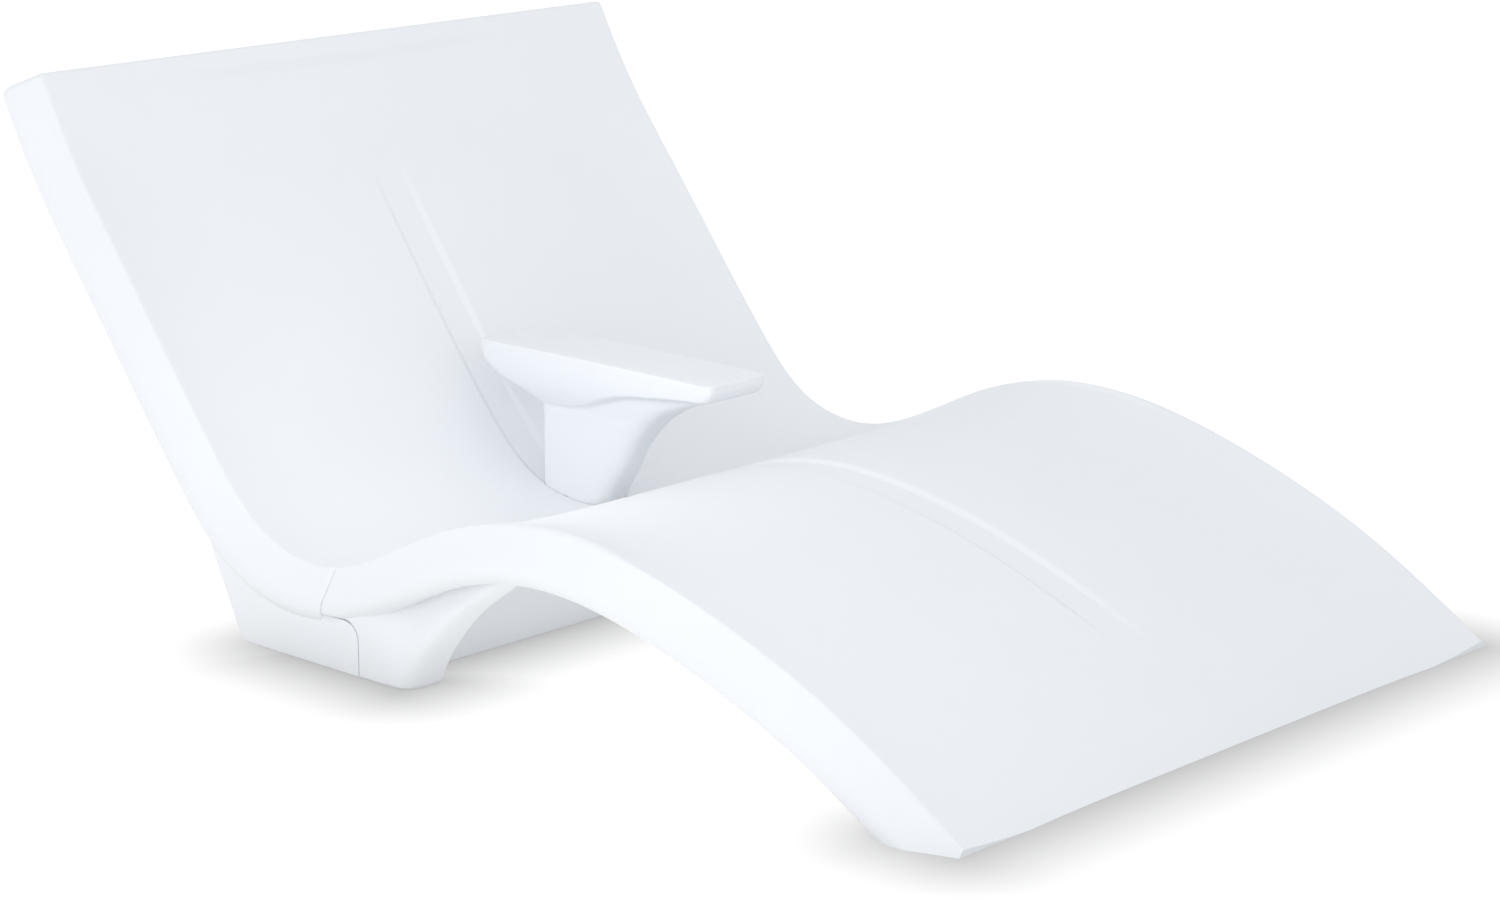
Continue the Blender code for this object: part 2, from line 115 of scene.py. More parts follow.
LINE = batten(SIDE_KNOTS, np.linspace(0, 1, LINE_STEPS))
ALONG = np.concatenate([[0.0], np.cumsum(np.linalg.norm(np.diff(LINE, axis=0), axis=1))])
HEADING = np.gradient(LINE, ALONG, axis=0)
HEADING /= np.linalg.norm(HEADING, axis=1)[:, None]
LINE_END = float(ALONG[-1])
print("side line", round(LINE_END, 4), "m long")


# %% Places on the side line
def station(distance):
    """Length along the side line at a distance from the toe."""
    return np.interp(distance, LINE[:, 0], ALONG)


def on_line(s, n):
    """Point n above the side line, square to it, at station s: (distance from the toe, height).
    It is the point of the line plus n times the heading turned a quarter round."""
    ty, tz = np.interp(s, ALONG, HEADING[:, 0]), np.interp(s, ALONG, HEADING[:, 1])
    y, z = np.interp(s, ALONG, LINE[:, 0]), np.interp(s, ALONG, LINE[:, 1])
    return y - tz * n, z + ty * n


def line_height(distance, n):
    """Height of the line that runs n above the side line."""
    y, z = on_line(ALONG, np.full_like(ALONG, n))
    return np.interp(distance, y, z)


print("crease over the seat", round(float(line_height(1.17, 0.0)), 4), "m high")

# %% [markdown]
# ## The bed's surface
#
# Across its width the bed is dished: flat in the middle, and turned up to the crease at each
# side. A shallow channel parts the two places, a low ridge runs along the crease over the knee,
# and under the top edge the dish ends in a lens-shaped step. They could be sculpted, or cut with
# booleans that leave hard edges. Here each is a height added to one function of two parameters,
# the station along the line and the distance from the middle, so they blend without any seam.

# %% Smooth steps
def smooth(t):
    """0 below 0, 1 above 1, and between them 3 t^2 - 2 t^3, an S curve with level ends."""
    t = np.clip(t, 0, 1)
    return t * t * (3 - 2 * t)


def window(value, low, high, fade):
    """1 between low and high, fading to 0 over fade inside each end."""
    return smooth((value - low) / fade) * smooth((high - value) / fade)


print("S curve at a quarter", smooth(0.25))

# %% Sizes of the bed
CREASE_X = HALF_WIDTH - 0.030
THICKNESS = 0.078
BEVEL_DROP = 0.048
CREASE_SOFT = 0.0016
DISH_POWER, DISH_STEPS, HEAD_FADE = 5.5, 400, 0.150
# distance from the toe, depth of the dish there
DISH_KNOTS = [
    (0.0, 0.011), (0.25, 0.024), (0.42, 0.027), (0.62, 0.0305), (0.70, 0.028), (0.80, 0.0235),
    (0.94, 0.0185), (1.17, 0.0195), (1.33, 0.0255), (1.50, 0.0255), (1.60, 0.0215), (1.75, 0.014),
]
CHANNEL_HALF, CHANNEL_RUN, CHANNEL_DEPTH = 0.036, 0.013, 0.0050
# start, end and fade of the channel in each moulding
FRONT_CHANNEL = (0.130, 1.300, 0.210)
REAR_CHANNEL = (1.000, 1.655, 0.110)
RIM_WIDTH, RIM_STEP, RIM_HALF = 0.036, 0.0075, 0.430
RIM_RUN, RIM_HOLD = 0.200, 0.15
RIM_EDGE, RIM_LEAD = 0.007, 0.3
RIDGE_X, RIDGE_WIDTH, RIDGE_HEIGHT = CREASE_X - 0.009, 0.0052, 0.0036
RIDGE_SPAN = (0.520, 0.860, 0.120)
DISH_DEPTHS = batten(DISH_KNOTS, np.linspace(0, 1, DISH_STEPS))
print("dish from", DISH_DEPTHS[:, 1].min().round(4), "to", DISH_DEPTHS[:, 1].max().round(4), "m deep")


# %% Bed surface
def bed_height(x, s):
    """Height of the bed above the side line. The dish is its depth times one minus (x / crease)
    to a power. The step under the rim is a parabola across, faded along. The channel is an S
    curve at each wall. The ridge is a bell curve across the crease."""
    across = np.abs(x)
    distance = np.interp(s, ALONG, LINE[:, 0])
    below_rim = LINE_END - RIM_WIDTH - s
    depth = np.interp(distance, DISH_DEPTHS[:, 0], DISH_DEPTHS[:, 1])
    dish = depth * (1 - (across / CREASE_X)**DISH_POWER) * smooth(below_rim / HEAD_FADE)
    lens = np.clip(1 - (across / RIM_HALF)**2, 0, 1)
    lens_ends = smooth(1 + RIM_HOLD - below_rim / RIM_RUN) * smooth(below_rim / RIM_EDGE + RIM_LEAD)
    wall = smooth((CHANNEL_HALF - across) / CHANNEL_RUN)
    channel_ends = np.maximum(window(distance, *FRONT_CHANNEL), window(distance, *REAR_CHANNEL))
    ridge = np.exp(-((across - RIDGE_X) / RIDGE_WIDTH)**2) * window(distance, *RIDGE_SPAN)
    return -dish - RIM_STEP * lens * lens_ends - CHANNEL_DEPTH * wall * channel_ends + RIDGE_HEIGHT * ridge


def bed_top(x, s):
    """The lower of the bed and the bevel beside it, rounded where they cross: their mean, less
    the root of (half their difference)^2 + softness^2."""
    bed = bed_height(x, s)
    bevel = -(np.abs(x) - CREASE_X) * BEVEL_DROP / (HALF_WIDTH - CREASE_X)
    return (bed + bevel) / 2 - np.sqrt(((bed - bevel) / 2)**2 + CREASE_SOFT**2)


print("bed at the seat", bed_top(np.array([0.0, 0.3, 0.57]), station(1.17)).round(4))

# %% [markdown]
# ## From surface to closed body
#
# A section of the bed is a closed ring: across the top, round each bevelled side, and back
# under. Carrying the ring along the side line gives the body. A Solidify modifier could
# thicken the top instead, but it would not give the sides their two radii.

# %% Ring round the bed
# radius, depth of the centre, first and last angle in degrees, points
SIDE_ARCS = [(0.0280, 0.0560, 32.0, 0.0, 7), (0.0220, 0.0560, 0.0, -90.0, 12)]
TOP_END_X = HALF_WIDTH - 0.00426
UNDER_POINTS = 40


def side_arcs():
    """Points (x, n) round the right side: each centre plus radius times cosine and sine."""
    parts = []
    for radius, depth, first, last, count in SIDE_ARCS:
        turn = np.radians(np.linspace(first, last, count))[1:]
        parts.append(np.column_stack([
            HALF_WIDTH - radius + radius * np.cos(turn), -depth + radius * np.sin(turn)
        ]))
    return np.vstack(parts)


def across_lines():
    """Distances from the middle: close together at the channel's walls and at the crease."""
    middle, wall = np.linspace(0, 0.019, 4), np.linspace(0.0205, 0.0395, 15)
    dish, crease = np.linspace(0.048, 0.535, 34), np.linspace(0.541, TOP_END_X, 34)
    right = np.concatenate([middle, wall, dish, crease])
    return np.concatenate([-right[:0:-1], right])


TOP_X = across_lines()
ARC = side_arcs()
UNDER_X = np.linspace(ARC[-1, 0], -ARC[-1, 0], UNDER_POINTS)[1:-1]
RING_X = np.concatenate([TOP_X, ARC[:, 0], UNDER_X, -ARC[::-1, 0]])
RING_N = np.concatenate([
    np.zeros(len(TOP_X)), ARC[:, 1], np.full(len(UNDER_X), -THICKNESS), ARC[::-1, 1]
])
IS_TOP = np.arange(len(RING_X)) < len(TOP_X)
print("points round one ring", len(RING_X))

# %% [markdown]
# ## Rings that end in an upright plane
#
# Where two mouldings meet, the cut has to lie in one upright plane although the line slopes, so
# each point of the ring stops at the station where it reaches that plane. A boolean with a box
# would cut it too, but would leave no clean ring to round off. The station is found by halving
# an interval. The last rings shrink along a quarter circle, which gives the moulding its lip.

# %% Rings along the bed
SEARCH_REACH, HALVINGS = 0.12, 40


def bed_points(s, shrink=0.0):
    """Points of the bed's rings at stations s. A shrunk ring is scaled about the middle of its
    section, so that its sides, its top and its underside come in by the same length."""
    x = np.broadcast_to(RING_X, s.shape)
    n = np.where(IS_TOP, bed_top(x, s), RING_N)
    middle = -THICKNESS / 2
    x = x * (1 - shrink / HALF_WIDTH)
    n = middle + (n - middle) * (1 - shrink / -middle)
    y, z = on_line(s, n)
    return np.stack([x, y, z], axis=-1)


def stations_at(plane):
    """Stations where each point of the ring reaches this distance from the toe."""
    middle = np.full(len(RING_X), station(plane))
    low, high = middle - SEARCH_REACH, middle + SEARCH_REACH
    for _ in range(HALVINGS):
        middle = (low + high) / 2
        ahead = bed_points(middle)[:, 1] < plane
        low, high = np.where(ahead, middle, low), np.where(ahead, high, middle)
    return (low + high) / 2


def bed_run(low, high, rings):
    """Rings at even steps from stations low to stations high."""
    return bed_points(low + (high - low) * np.linspace(0, 1, rings)[:, None])


def lip_rings(end, inward, radius, steps):
    """Rings that round off an end along a quarter circle: each stands radius (1 - sin) inside
    the end and is shrunk by radius (1 - cos)."""
    return np.stack([
        bed_points(end + inward * radius * (1 - math.sin(turn)), radius * (1 - math.cos(turn)))
        for turn in np.radians(np.linspace(0, 90, steps))
    ])


print("a plane 1 m from the toe cuts the ring over", np.ptp(stations_at(1.0)).round(4), "m of the line")

# %% [markdown]
# ## Putting rings into a mesh
#
# A closed body is a stack of rings with a face on each end. Bridging the rings with an edit-mode
# tool would do it one pair at a time. Index arithmetic finds all the faces at once. If the
# signed volume comes out below zero, the body is inside out, so every face is turned round.

# %% Mesh from rings
TOE = np.array([0.0, TOE_Y, 0.0])


def ring_quads(levels, count, wrap):
    """Point numbers of the faces between each ring and the next. With wrap, the last ring also
    joins the first."""
    joints = levels if wrap else levels - 1
    level, spot = np.meshgrid(np.arange(joints), np.arange(count), indexing="ij")
    above, beside = (level + 1) % levels, (spot + 1) % count
    here, there = level * count, above * count
    return np.stack([here + spot, here + beside, there + beside, there + spot], -1).reshape(-1, 4)


def closed_mesh(name, points, quads, caps=()):
    """Object with its faces outwards. Its signed volume is a sixth of the sum of a x b . c over
    the triangles, so the sum's sign tells whether the faces have to be turned round."""
    a, b, c, d = (points[quads[:, corner]] for corner in range(4))
    volume = (np.cross(a, b) * c).sum() + (np.cross(a, c) * d).sum()
    order = -1 if volume < 0 else 1
    faces = [face[::order] for face in [*quads.tolist(), *caps]]
    mesh = bpy.data.meshes.new(name)
    mesh.from_pydata(points.tolist(), [], faces)
    mesh.validate()
    made = bpy.data.objects.new(name, mesh)
    bpy.context.scene.collection.objects.link(made)
    return made


def body_from(name, rings, origin=TOE):
    """Closed body from rings of shape (levels, points, 3), with a face on each end."""
    levels, count = rings.shape[:2]
    points = rings.reshape(-1, 3) + origin
    bottom, top = list(range(count)), list(range((levels - 1) * count, levels * count))
    return closed_mesh(name, points, ring_quads(levels, count, False), [bottom[::-1], top])


def ring_body(name, rings):
    """Closed body from rings round a hole, where the last ring joins the first."""
    levels, count = rings.shape[:2]
    return closed_mesh(name, rings.reshape(-1, 3), ring_quads(levels, count, True))


print("two rings of four points give", len(ring_quads(2, 4, False)), "sides")

# %% [markdown]
# ## Joining, cutting and handing over
#
# The mould makes each section in one piece, without inner walls. Overlapping bodies would look
# the same from outside, but would leave walls inside each other, so they are joined into one
# mesh. The Manifold solver is the fastest of Blender's boolean solvers. It needs closed bodies,
# which all of these are. A finished piece then takes its material, rides on the body that moves
# it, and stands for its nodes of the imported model.

# %% Joining and cutting
def combine(target, others, operation):
    """Joins the others to the target, or cuts them from it, and keeps the result as its mesh."""
    for other in others:
        step = target.modifiers.new(other.name, "BOOLEAN")
        step.operation = operation
        step.solver = "MANIFOLD"
        step.object = other
    bpy.context.view_layer.update()
    graph = bpy.context.evaluated_depsgraph_get()
    mesh = bpy.data.meshes.new_from_object(target.evaluated_get(graph))
    target.modifiers.clear()
    target.data = mesh
    for other in others:
        bpy.data.objects.remove(other, do_unlink=True)
    print(target.name, operation.lower(), len(others), "bodies:", len(mesh.polygons), "faces")
    return target


# %% Handing a piece over
SHARP = math.radians(38)


def finish_piece(piece, body, slot_name, material, *nodes):
    """Smooth shading with crisp edges, then the piece rides on its body and stands for its nodes."""
    piece.data.materials.clear()
    piece.data.materials.append(material)
    piece.data.shade_smooth()
    piece.data.set_sharp_from_angle(angle=SHARP)
    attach(piece, body)
    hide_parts(*nodes)
    print(piece.name, len(piece.data.polygons), "faces on", body)


# %% [markdown]
# ## Plan outlines for bases and braces
#
# Under the bed stand solid-looking bases: a broad one at the rear, and at the front a wall
# between two braces that sweep up into the bed. Extruding and bevelling a box would give each
# base one plan from foot to top. These change with height, so each is a stack of outlines. An
# outline is a polygon whose corners are rounded by a parabola, and every level of the stack is
# worked out in the same call, because the corners are arrays.

# %% Rounded outlines
SIDE_STEPS, CORNER_STEPS = 14, 7


def outline(corners, reach):
    """Rounded polygons: corners (levels, K, 2), reach (K,), as points (levels, count, 2). A
    corner is the parabola (1 - t)^2 a + 2 t (1 - t) corner + t^2 b, whose ends a and b lie on
    the two sides at the reach from the corner."""
    before, after = np.roll(corners, 1, axis=1), np.roll(corners, -1, axis=1)
    reach = np.asarray(reach)[None, :, None]
    to_before, to_after = before - corners, after - corners
    a = corners + to_before / np.linalg.norm(to_before, axis=-1, keepdims=True) * reach
    b = corners + to_after / np.linalg.norm(to_after, axis=-1, keepdims=True) * reach
    t = np.linspace(0, 1, CORNER_STEPS)[None, None, :, None]
    bend = (1 - t)**2 * a[:, :, None] + 2 * t * (1 - t) * corners[:, :, None] + t**2 * b[:, :, None]
    share = np.linspace(0, 1, SIDE_STEPS)[None, None, 1:-1, None]
    side = b[:, :, None] * (1 - share) + np.roll(a, -1, axis=1)[:, :, None] * share
    return np.concatenate([bend, side], axis=2).reshape(len(corners), -1, 2)


def corner_rows(*corners):
    """Corners (x, y), each given as two arrays over the levels, as one array (levels, K, 2)."""
    return np.stack([np.stack(corner, -1) for corner in corners], axis=1)


def rectangle(half, front, back):
    """Corners of a rectangle astride the middle line, at every level."""
    x = np.full_like(front, half)
    return corner_rows((x, front), (x, back), (-x, back), (-x, front))


print("points in a rounded rectangle", 4 * (CORNER_STEPS + SIDE_STEPS - 2))

# %% [markdown]
# ## The cove under the bed's edge
#
# The bed's lower edge stands out over the base, and the base curves in below it to a soft cove.
# A fillet between two solids would do that along a fixed radius. Here the cove is a pull on the
# base's own points, so it can be deep ahead of the seam and nearly gone behind it.

# %% Seams and the cove
BED_SEAM, BASE_SEAM, SEAM_GAP, SHELF_GAP = 1.1230, 1.0490, 0.0012, 0.0024
LOWER_EDGE = -0.058
# behind the seam, ahead of the seam
COVE_DEPTH, COVE_WIDTH = (0.004, 0.034), (0.012, 0.066)
COVE_START, COVE_RUN = BASE_SEAM + 0.01, 0.120
COVE_X, COVE_FADE = 0.50, 0.08


def tuck(points):
    """Draws a base in below the bed's lower edge: depth times a bell curve of the distance below
    the edge, where depth and width both grow ahead of the seam."""
    x, y, z = np.moveaxis(points, -1, 0)
    below = np.maximum(line_height(y, LOWER_EDGE) - z, 0)
    ahead = smooth((COVE_START - y) / COVE_RUN)
    depth = COVE_DEPTH[0] + (COVE_DEPTH[1] - COVE_DEPTH[0]) * ahead
    width = COVE_WIDTH[0] + (COVE_WIDTH[1] - COVE_WIDTH[0]) * ahead
    pull = depth * np.exp(-(below / width)**2) * smooth((np.abs(x) - COVE_X) / COVE_FADE)
    return np.stack([x - np.sign(x) * pull, y, z], axis=-1)


print("seam in the bed", BED_SEAM, "and in the base", BASE_SEAM, "m from the toe")

# %% Stacks of outlines
FOOT_ROUND = 0.004
FOOT_TURNS = np.radians((0, 30, 60))
FIRST_SHARE = 0.02
EDGE_STEPS = 40


def share_of(edge, top):
    """Share of the full height that each point of a side edge (distance, height) has reached."""
    return edge[:, 1] / top(edge[:, 0])


def stacked(plan, front, back, top, levels=EDGE_STEPS):
    """Base from the floor to the height top(distance): plan(front y, back y) gives the corners
    and their reaches at each level. The foot is rounded along a circle, by an inset of
    radius (1 - sin) and a lift of radius (1 - cos)."""
    foot_levels = len(FOOT_TURNS)
    share = np.concatenate([np.zeros(foot_levels), np.linspace(FIRST_SHARE, 1, levels)])
    front_y = np.interp(share, share_of(front, top), front[:, 0])
    back_y = np.interp(share, share_of(back, top), back[:, 0])
    points = outline(*plan(front_y, back_y))
    z = share[:, None] * top(points[..., 1])
    outward = points[:foot_levels] - points[:foot_levels].mean(axis=1, keepdims=True)
    outward /= np.abs(outward).max(axis=1, keepdims=True)
    points[:foot_levels] -= outward * FOOT_ROUND * (1 - np.sin(FOOT_TURNS))[:, None, None]
    z[:foot_levels] = FOOT_ROUND * (1 - np.cos(FOOT_TURNS))[:, None]
    return tuck(np.concatenate([points, z[..., None]], axis=-1))


def upright(distance, height):
    """An edge that stands straight up, as points (distance, height)."""
    return np.column_stack([np.full(EDGE_STEPS, distance), np.linspace(0, height, EDGE_STEPS)])


print("levels in a base", len(FOOT_TURNS) + EDGE_STEPS)

# %% [markdown]
# ## White polyethylene and the plugs' finishes
#
# Rotationally moulded polyethylene comes out of the mould with a fine, matt, slightly uneven
# skin. An image texture would need an unwrapped mesh. Noise in the piece's own
# coordinates needs none, and has no seams. The white mixes a very slight mottle into the
# colour, lets the roughness wander, and adds two bumps: a fine grain from the mould, and slow
# waves where the wall shrank as it cooled. The plugs are nylon, over black rubber gaskets, in
# turned brass inserts.

# %% Pattern helpers
# most of a noise pattern lies between these
NOISE_LOW, NOISE_HIGH = 0.3, 0.7


def finish(name, roughness, metallic=0.0, specular=0.5):
    """A new material with its Principled shader and a place for patterns on Object coordinates."""
    made = bpy.data.materials.new(name)
    made.use_nodes = True
    nodes = made.node_tree.nodes
    shader = nodes["Principled BSDF"]
    shader.inputs["Roughness"].default_value = roughness
    shader.inputs["Metallic"].default_value = metallic
    shader.inputs["Specular IOR Level"].default_value = specular
    place = nodes.new("ShaderNodeTexCoord")
    return made, shader, place.outputs["Object"]


def noise(material, place, scale, detail=2.0):
    """A cloudy pattern between 0 and 1, with so many waves to the metre."""
    made = material.node_tree.nodes.new("ShaderNodeTexNoise")
    made.inputs["Scale"].default_value = scale
    made.inputs["Detail"].default_value = detail
    material.node_tree.links.new(place, made.inputs["Vector"])
    return made.outputs["Fac"]


def tinted(material, pattern, low, high, socket):
    """Joins a pattern to a colour socket. A Mix node's sockets 6 and 7 are its two colours, and
    its output 2 is the mixed colour."""
    made = material.node_tree.nodes.new("ShaderNodeMix")
    made.data_type = "RGBA"
    made.inputs[6].default_value = (*low, 1)
    made.inputs[7].default_value = (*high, 1)
    material.node_tree.links.new(pattern, made.inputs[0])
    material.node_tree.links.new(made.outputs[2], socket)


def ranged(material, pattern, low, high, socket):
    """Joins a pattern to a number socket, stretched from low to high."""
    made = material.node_tree.nodes.new("ShaderNodeMapRange")
    made.inputs["From Min"].default_value = NOISE_LOW
    made.inputs["From Max"].default_value = NOISE_HIGH
    made.inputs["To Min"].default_value = low
    made.inputs["To Max"].default_value = high
    material.node_tree.links.new(pattern, made.inputs["Value"])
    material.node_tree.links.new(made.outputs["Result"], socket)


def bumps(material, shader, *layers):
    """Stacks bumps of (height pattern, strength, distance) on the shader's normal."""
    nodes, links = material.node_tree.nodes, material.node_tree.links
    normal = None
    for height, strength, distance in layers:
        made = nodes.new("ShaderNodeBump")
        made.inputs["Strength"].default_value = strength
        made.inputs["Distance"].default_value = distance
        links.new(height, made.inputs["Height"])
        if normal:
            links.new(normal, made.inputs["Normal"])
        normal = made.outputs["Normal"]
    links.new(normal, shader.inputs["Normal"])


print("patterns run from", NOISE_LOW, "to", NOISE_HIGH)


# %% Four finishes
def polyethylene():
    """Matt, faintly cool white with a mottle, a mould grain and slow waves."""
    made, shader, place = finish("white_polyethylene", 0.45, specular=0.42)
    colour, roughness = shader.inputs["Base Color"], shader.inputs["Roughness"]
    tinted(made, noise(made, place, 7.0, 3.0), (0.815, 0.835, 0.862), (0.835, 0.853, 0.876), colour)
    ranged(made, noise(made, place, 34.0, 3.0), 0.40, 0.52, roughness)
    grain = (noise(made, place, 620.0), 0.10, 0.0006)
    waves = (noise(made, place, 9.0, 1.0), 0.10, 0.004)
    bumps(made, shader, grain, waves)
    return made


def small_finish(name, colours, roughnesses, scales, grain, metallic=0.0, specular=0.5):
    """Finish of a plug, a gasket or an insert: scales are those of the colour, the roughness and
    the grain, and grain is its strength and distance."""
    made, shader, place = finish(name, sum(roughnesses) / 2, metallic, specular)
    tinted(made, noise(made, place, scales[0]), *colours, shader.inputs["Base Color"])
    ranged(made, noise(made, place, scales[1]), *roughnesses, shader.inputs["Roughness"])
    bumps(made, shader, (noise(made, place, scales[2]), *grain))
    return made


WHITE = polyethylene()
NYLON = small_finish(
    "plug_nylon", ((0.74, 0.755, 0.77), (0.79, 0.80, 0.81)), (0.30, 0.42),
    (60.0, 240.0, 1500.0), (0.08, 0.0003)
)
RUBBER = small_finish(
    "gasket_rubber", ((0.018, 0.018, 0.020), (0.034, 0.033, 0.034)), (0.62, 0.82),
    (300.0, 500.0, 2200.0), (0.12, 0.0002), specular=0.35
)
BRASS = small_finish(
    "insert_brass", ((0.62, 0.44, 0.19), (0.74, 0.55, 0.27)), (0.24, 0.40),
    (90.0, 400.0, 2600.0), (0.10, 0.0001), metallic=1.0
)
print("finishes", [material.name for material in (WHITE, NYLON, RUBBER, BRASS)])

# %% [markdown]
# ## The rear moulding
#
# The backrest and the rear seats are one body. Its base leans out at the back, and ends at the
# front in a rounded shelf that carries the front moulding. The bed could be bridged to its base
# by hand. A boolean join is simpler and leaves no inner faces, as the mould has none either.

# %% Rear bed
LIP, LIP_STEPS = 0.0030, 6
TOP_ROUND, TOP_ROUND_STEPS = 0.0085, 8
REAR_RINGS = 117


def rear_bed():
    """From the seam, with a lip, to the top edge, with a larger rounding."""
    start, end = stations_at(BED_SEAM), np.full(len(RING_X), LINE_END)
    lip = lip_rings(start, 1, LIP, LIP_STEPS)
    body = bed_run(start + LIP, end - TOP_ROUND, REAR_RINGS)
    top = lip_rings(end, -1, TOP_ROUND, TOP_ROUND_STEPS)
    return body_from("rear_moulding", np.concatenate([lip[:0:-1], body, top[1:]]))


rear = rear_bed()
print("rear bed", len(rear.data.polygons), "faces")

# %% Rear base
SHELF_HEIGHT, SHELF_ROUND, SHELF_STEPS = 0.075, 0.024, 12
BASE_X = HALF_WIDTH - 0.003
REAR_FOOT, REAR_LEAN, REAR_RISE = 1.303, 0.475, 0.16
REAR_REACH = (0.0015, 0.012, 0.012, 0.0015)
MID_DEPTH = -0.050
SHELF_OVERLAP = 0.002


def inside_bed(distance):
    """A height between the bed's top and its underside, where a base can end unseen."""
    return line_height(distance, MID_DEPTH)


def shelf_and_bed(distance):
    """Top of the rear base: the shelf, then a height inside the bed."""
    return np.where(distance < BED_SEAM + SHELF_OVERLAP, SHELF_HEIGHT, inside_bed(distance))


def shelf_corner(gap=0.0):
    """The shelf's front corner as (distance, height): a quarter circle, gap outside the shelf."""
    turn = np.radians(np.linspace(0, 90, SHELF_STEPS))
    radius = SHELF_ROUND + gap
    return np.column_stack([
        BASE_SEAM + SHELF_ROUND - radius * np.cos(turn), SHELF_HEIGHT - SHELF_ROUND + radius * np.sin(turn)
    ])


def rear_base():
    """Upright at the front up to the shelf's corner, and leaning out at the back."""
    front = np.vstack([[BASE_SEAM, 0.0], shelf_corner()])
    back = upright(REAR_FOOT, REAR_RISE)
    back[:, 0] += REAR_LEAN * back[:, 1]

    def plan(front_y, back_y):
        return rectangle(BASE_X, front_y, back_y), REAR_REACH

    return body_from("rear_base", stacked(plan, front, back, shelf_and_bed))


base = rear_base()
print("rear base", len(base.data.polygons), "faces")

# %% [markdown]
# ## Pegs, pockets and the console's socket
#
# Two pegs on the shelf enter pockets under the front moulding, and the console's post stands in
# a socket between the seats. Each could be a cylinder or a box placed by hand. Here a peg and
# its pocket, and the post and its socket, are made from the same sizes, so they go on fitting
# when a size is changed.

# %% Pegs and socket
POST_HALF, POST_FRONT, POST_BACK, POST_FOOT = 0.0345, 1.138, 1.266, 0.060
PEG_X, PEG_RADIUS, PEG_HEIGHT = 0.300, 0.016, 0.018
PEG_Y, PEG_ROOT, PEG_SOFT, PEG_STEPS = (BASE_SEAM + BED_SEAM) / 2, 0.060, 0.002, 64
SOCKET_GAP, SOCKET_FLOOR_GAP, SOCKET_TOP = 0.0010, 0.0005, 0.60
SOCKET_REACH = (0.004, 0.002, 0.002, 0.004)
# share of the rounding that is still above a level, and share of it taken off the radius
PEG_ROUNDING = np.array([(1.0, 0.0), (0.3, 0.35), (0.0, 1.0)])


def round_pins(name, radius, low, high, soft=0.0):
    """Two upright round pins, for pegs or pockets: x + r cos, y + r sin, with a rounded top."""
    turn = np.linspace(0, 2 * math.pi, PEG_STEPS, endpoint=False)
    heights = np.concatenate([[low], high - soft * PEG_ROUNDING[:, 0]])[:, None]
    radii = np.concatenate([[radius], radius - soft * PEG_ROUNDING[:, 1]])[:, None]
    y = PEG_Y + radii * np.sin(turn)
    z = np.broadcast_to(heights, y.shape)
    return [
        body_from(name, np.stack([x + radii * np.cos(turn), y, z], axis=-1)) for x in (-PEG_X, PEG_X)
    ]


def socket():
    """An upright cutter a little wider than the post, open at the top."""
    levels = np.array([POST_FOOT - SOCKET_FLOOR_GAP, SOCKET_TOP])
    front, back = np.full(2, POST_FRONT - SOCKET_GAP), np.full(2, POST_BACK + SOCKET_GAP)
    plan = outline(rectangle(POST_HALF + SOCKET_GAP, front, back), SOCKET_REACH)
    z = np.broadcast_to(levels[:, None, None], (*plan.shape[:2], 1))
    return body_from("socket", np.concatenate([plan, z], axis=-1))


pegs = round_pins("peg", PEG_RADIUS, PEG_ROOT, SHELF_HEIGHT + PEG_HEIGHT, PEG_SOFT)
combine(rear, [base, *pegs], "UNION")

# %% [markdown]
# ## Bores for the ports
#
# Each section has a fill port and a drain port, bored square to its wall. The frame's joints say
# where each plug turns, so the bores, and later the plugs, take their place and direction from
# there instead of from a second list.

# %% Ports' places and bores
JOINTS = {joint["name"]: joint for joint in frame["joints"]}
PORTS = ["rear_fill", "rear_drain", "front_fill", "front_drain"]
BUSH_RADIUS, FLANGE_RADIUS, FLANGE_DEPTH = 0.0200, 0.0250, 0.0030
BORE_ROOM, BORE_INWARD, BORE_OUTWARD, BORE_STEPS = 0.0004, 0.032, 0.030, 96


def port_frame(port):
    """Centre and three directions of a port: across, up the wall and out of it."""
    joint = JOINTS[port + "_plug_turn"]
    out = np.array(joint["axis"], float)
    out /= np.linalg.norm(out)
    across = np.array([1.0, 0.0, 0.0])
    return np.array(joint["pos_m"], float), across, np.cross(out, across), out


def around(port, radius, depth, turn):
    """Rings about a port's axis: its middle, plus radius times (cosine across, sine up), plus
    depth outwards. Radius and depth are (levels, 1) or (levels, points), and turn (points,)."""
    middle, across, up, out = port_frame(port)
    spokes = np.cos(turn)[:, None] * across + np.sin(turn)[:, None] * up
    return middle + radius[..., None] * spokes + depth[..., None] * out


def port_bore(port):
    """A round cutter with a step for the insert's flange."""
    turn = np.linspace(0, 2 * math.pi, BORE_STEPS, endpoint=False)
    step = -FLANGE_DEPTH - BORE_ROOM
    radii = np.array([BUSH_RADIUS, BUSH_RADIUS, FLANGE_RADIUS, FLANGE_RADIUS]) + BORE_ROOM
    depths = np.array([-BORE_INWARD, step, step, BORE_OUTWARD])
    return body_from("bore", around(port, radii[:, None], depths[:, None], turn), origin=0)


combine(rear, [socket(), port_bore("rear_fill"), port_bore("rear_drain")], "DIFFERENCE")
finish_piece(rear, "rear_section", "shell", WHITE, "rear_section_shell")

# %% [markdown]
# ## The front moulding
#
# The foot end arches from the toe over the knees and rests on the shelf of the rear moulding. A
# straight wall stands under it, and at each side a brace sweeps forward and up, broad at the
# foot and drawn in to a blade under the arch. A lofted surface between hand-drawn sections
# would do. Here the brace's free edge is a spline, and its outline changes at every height, so
# it is a stack like the rear base, with one more corner.

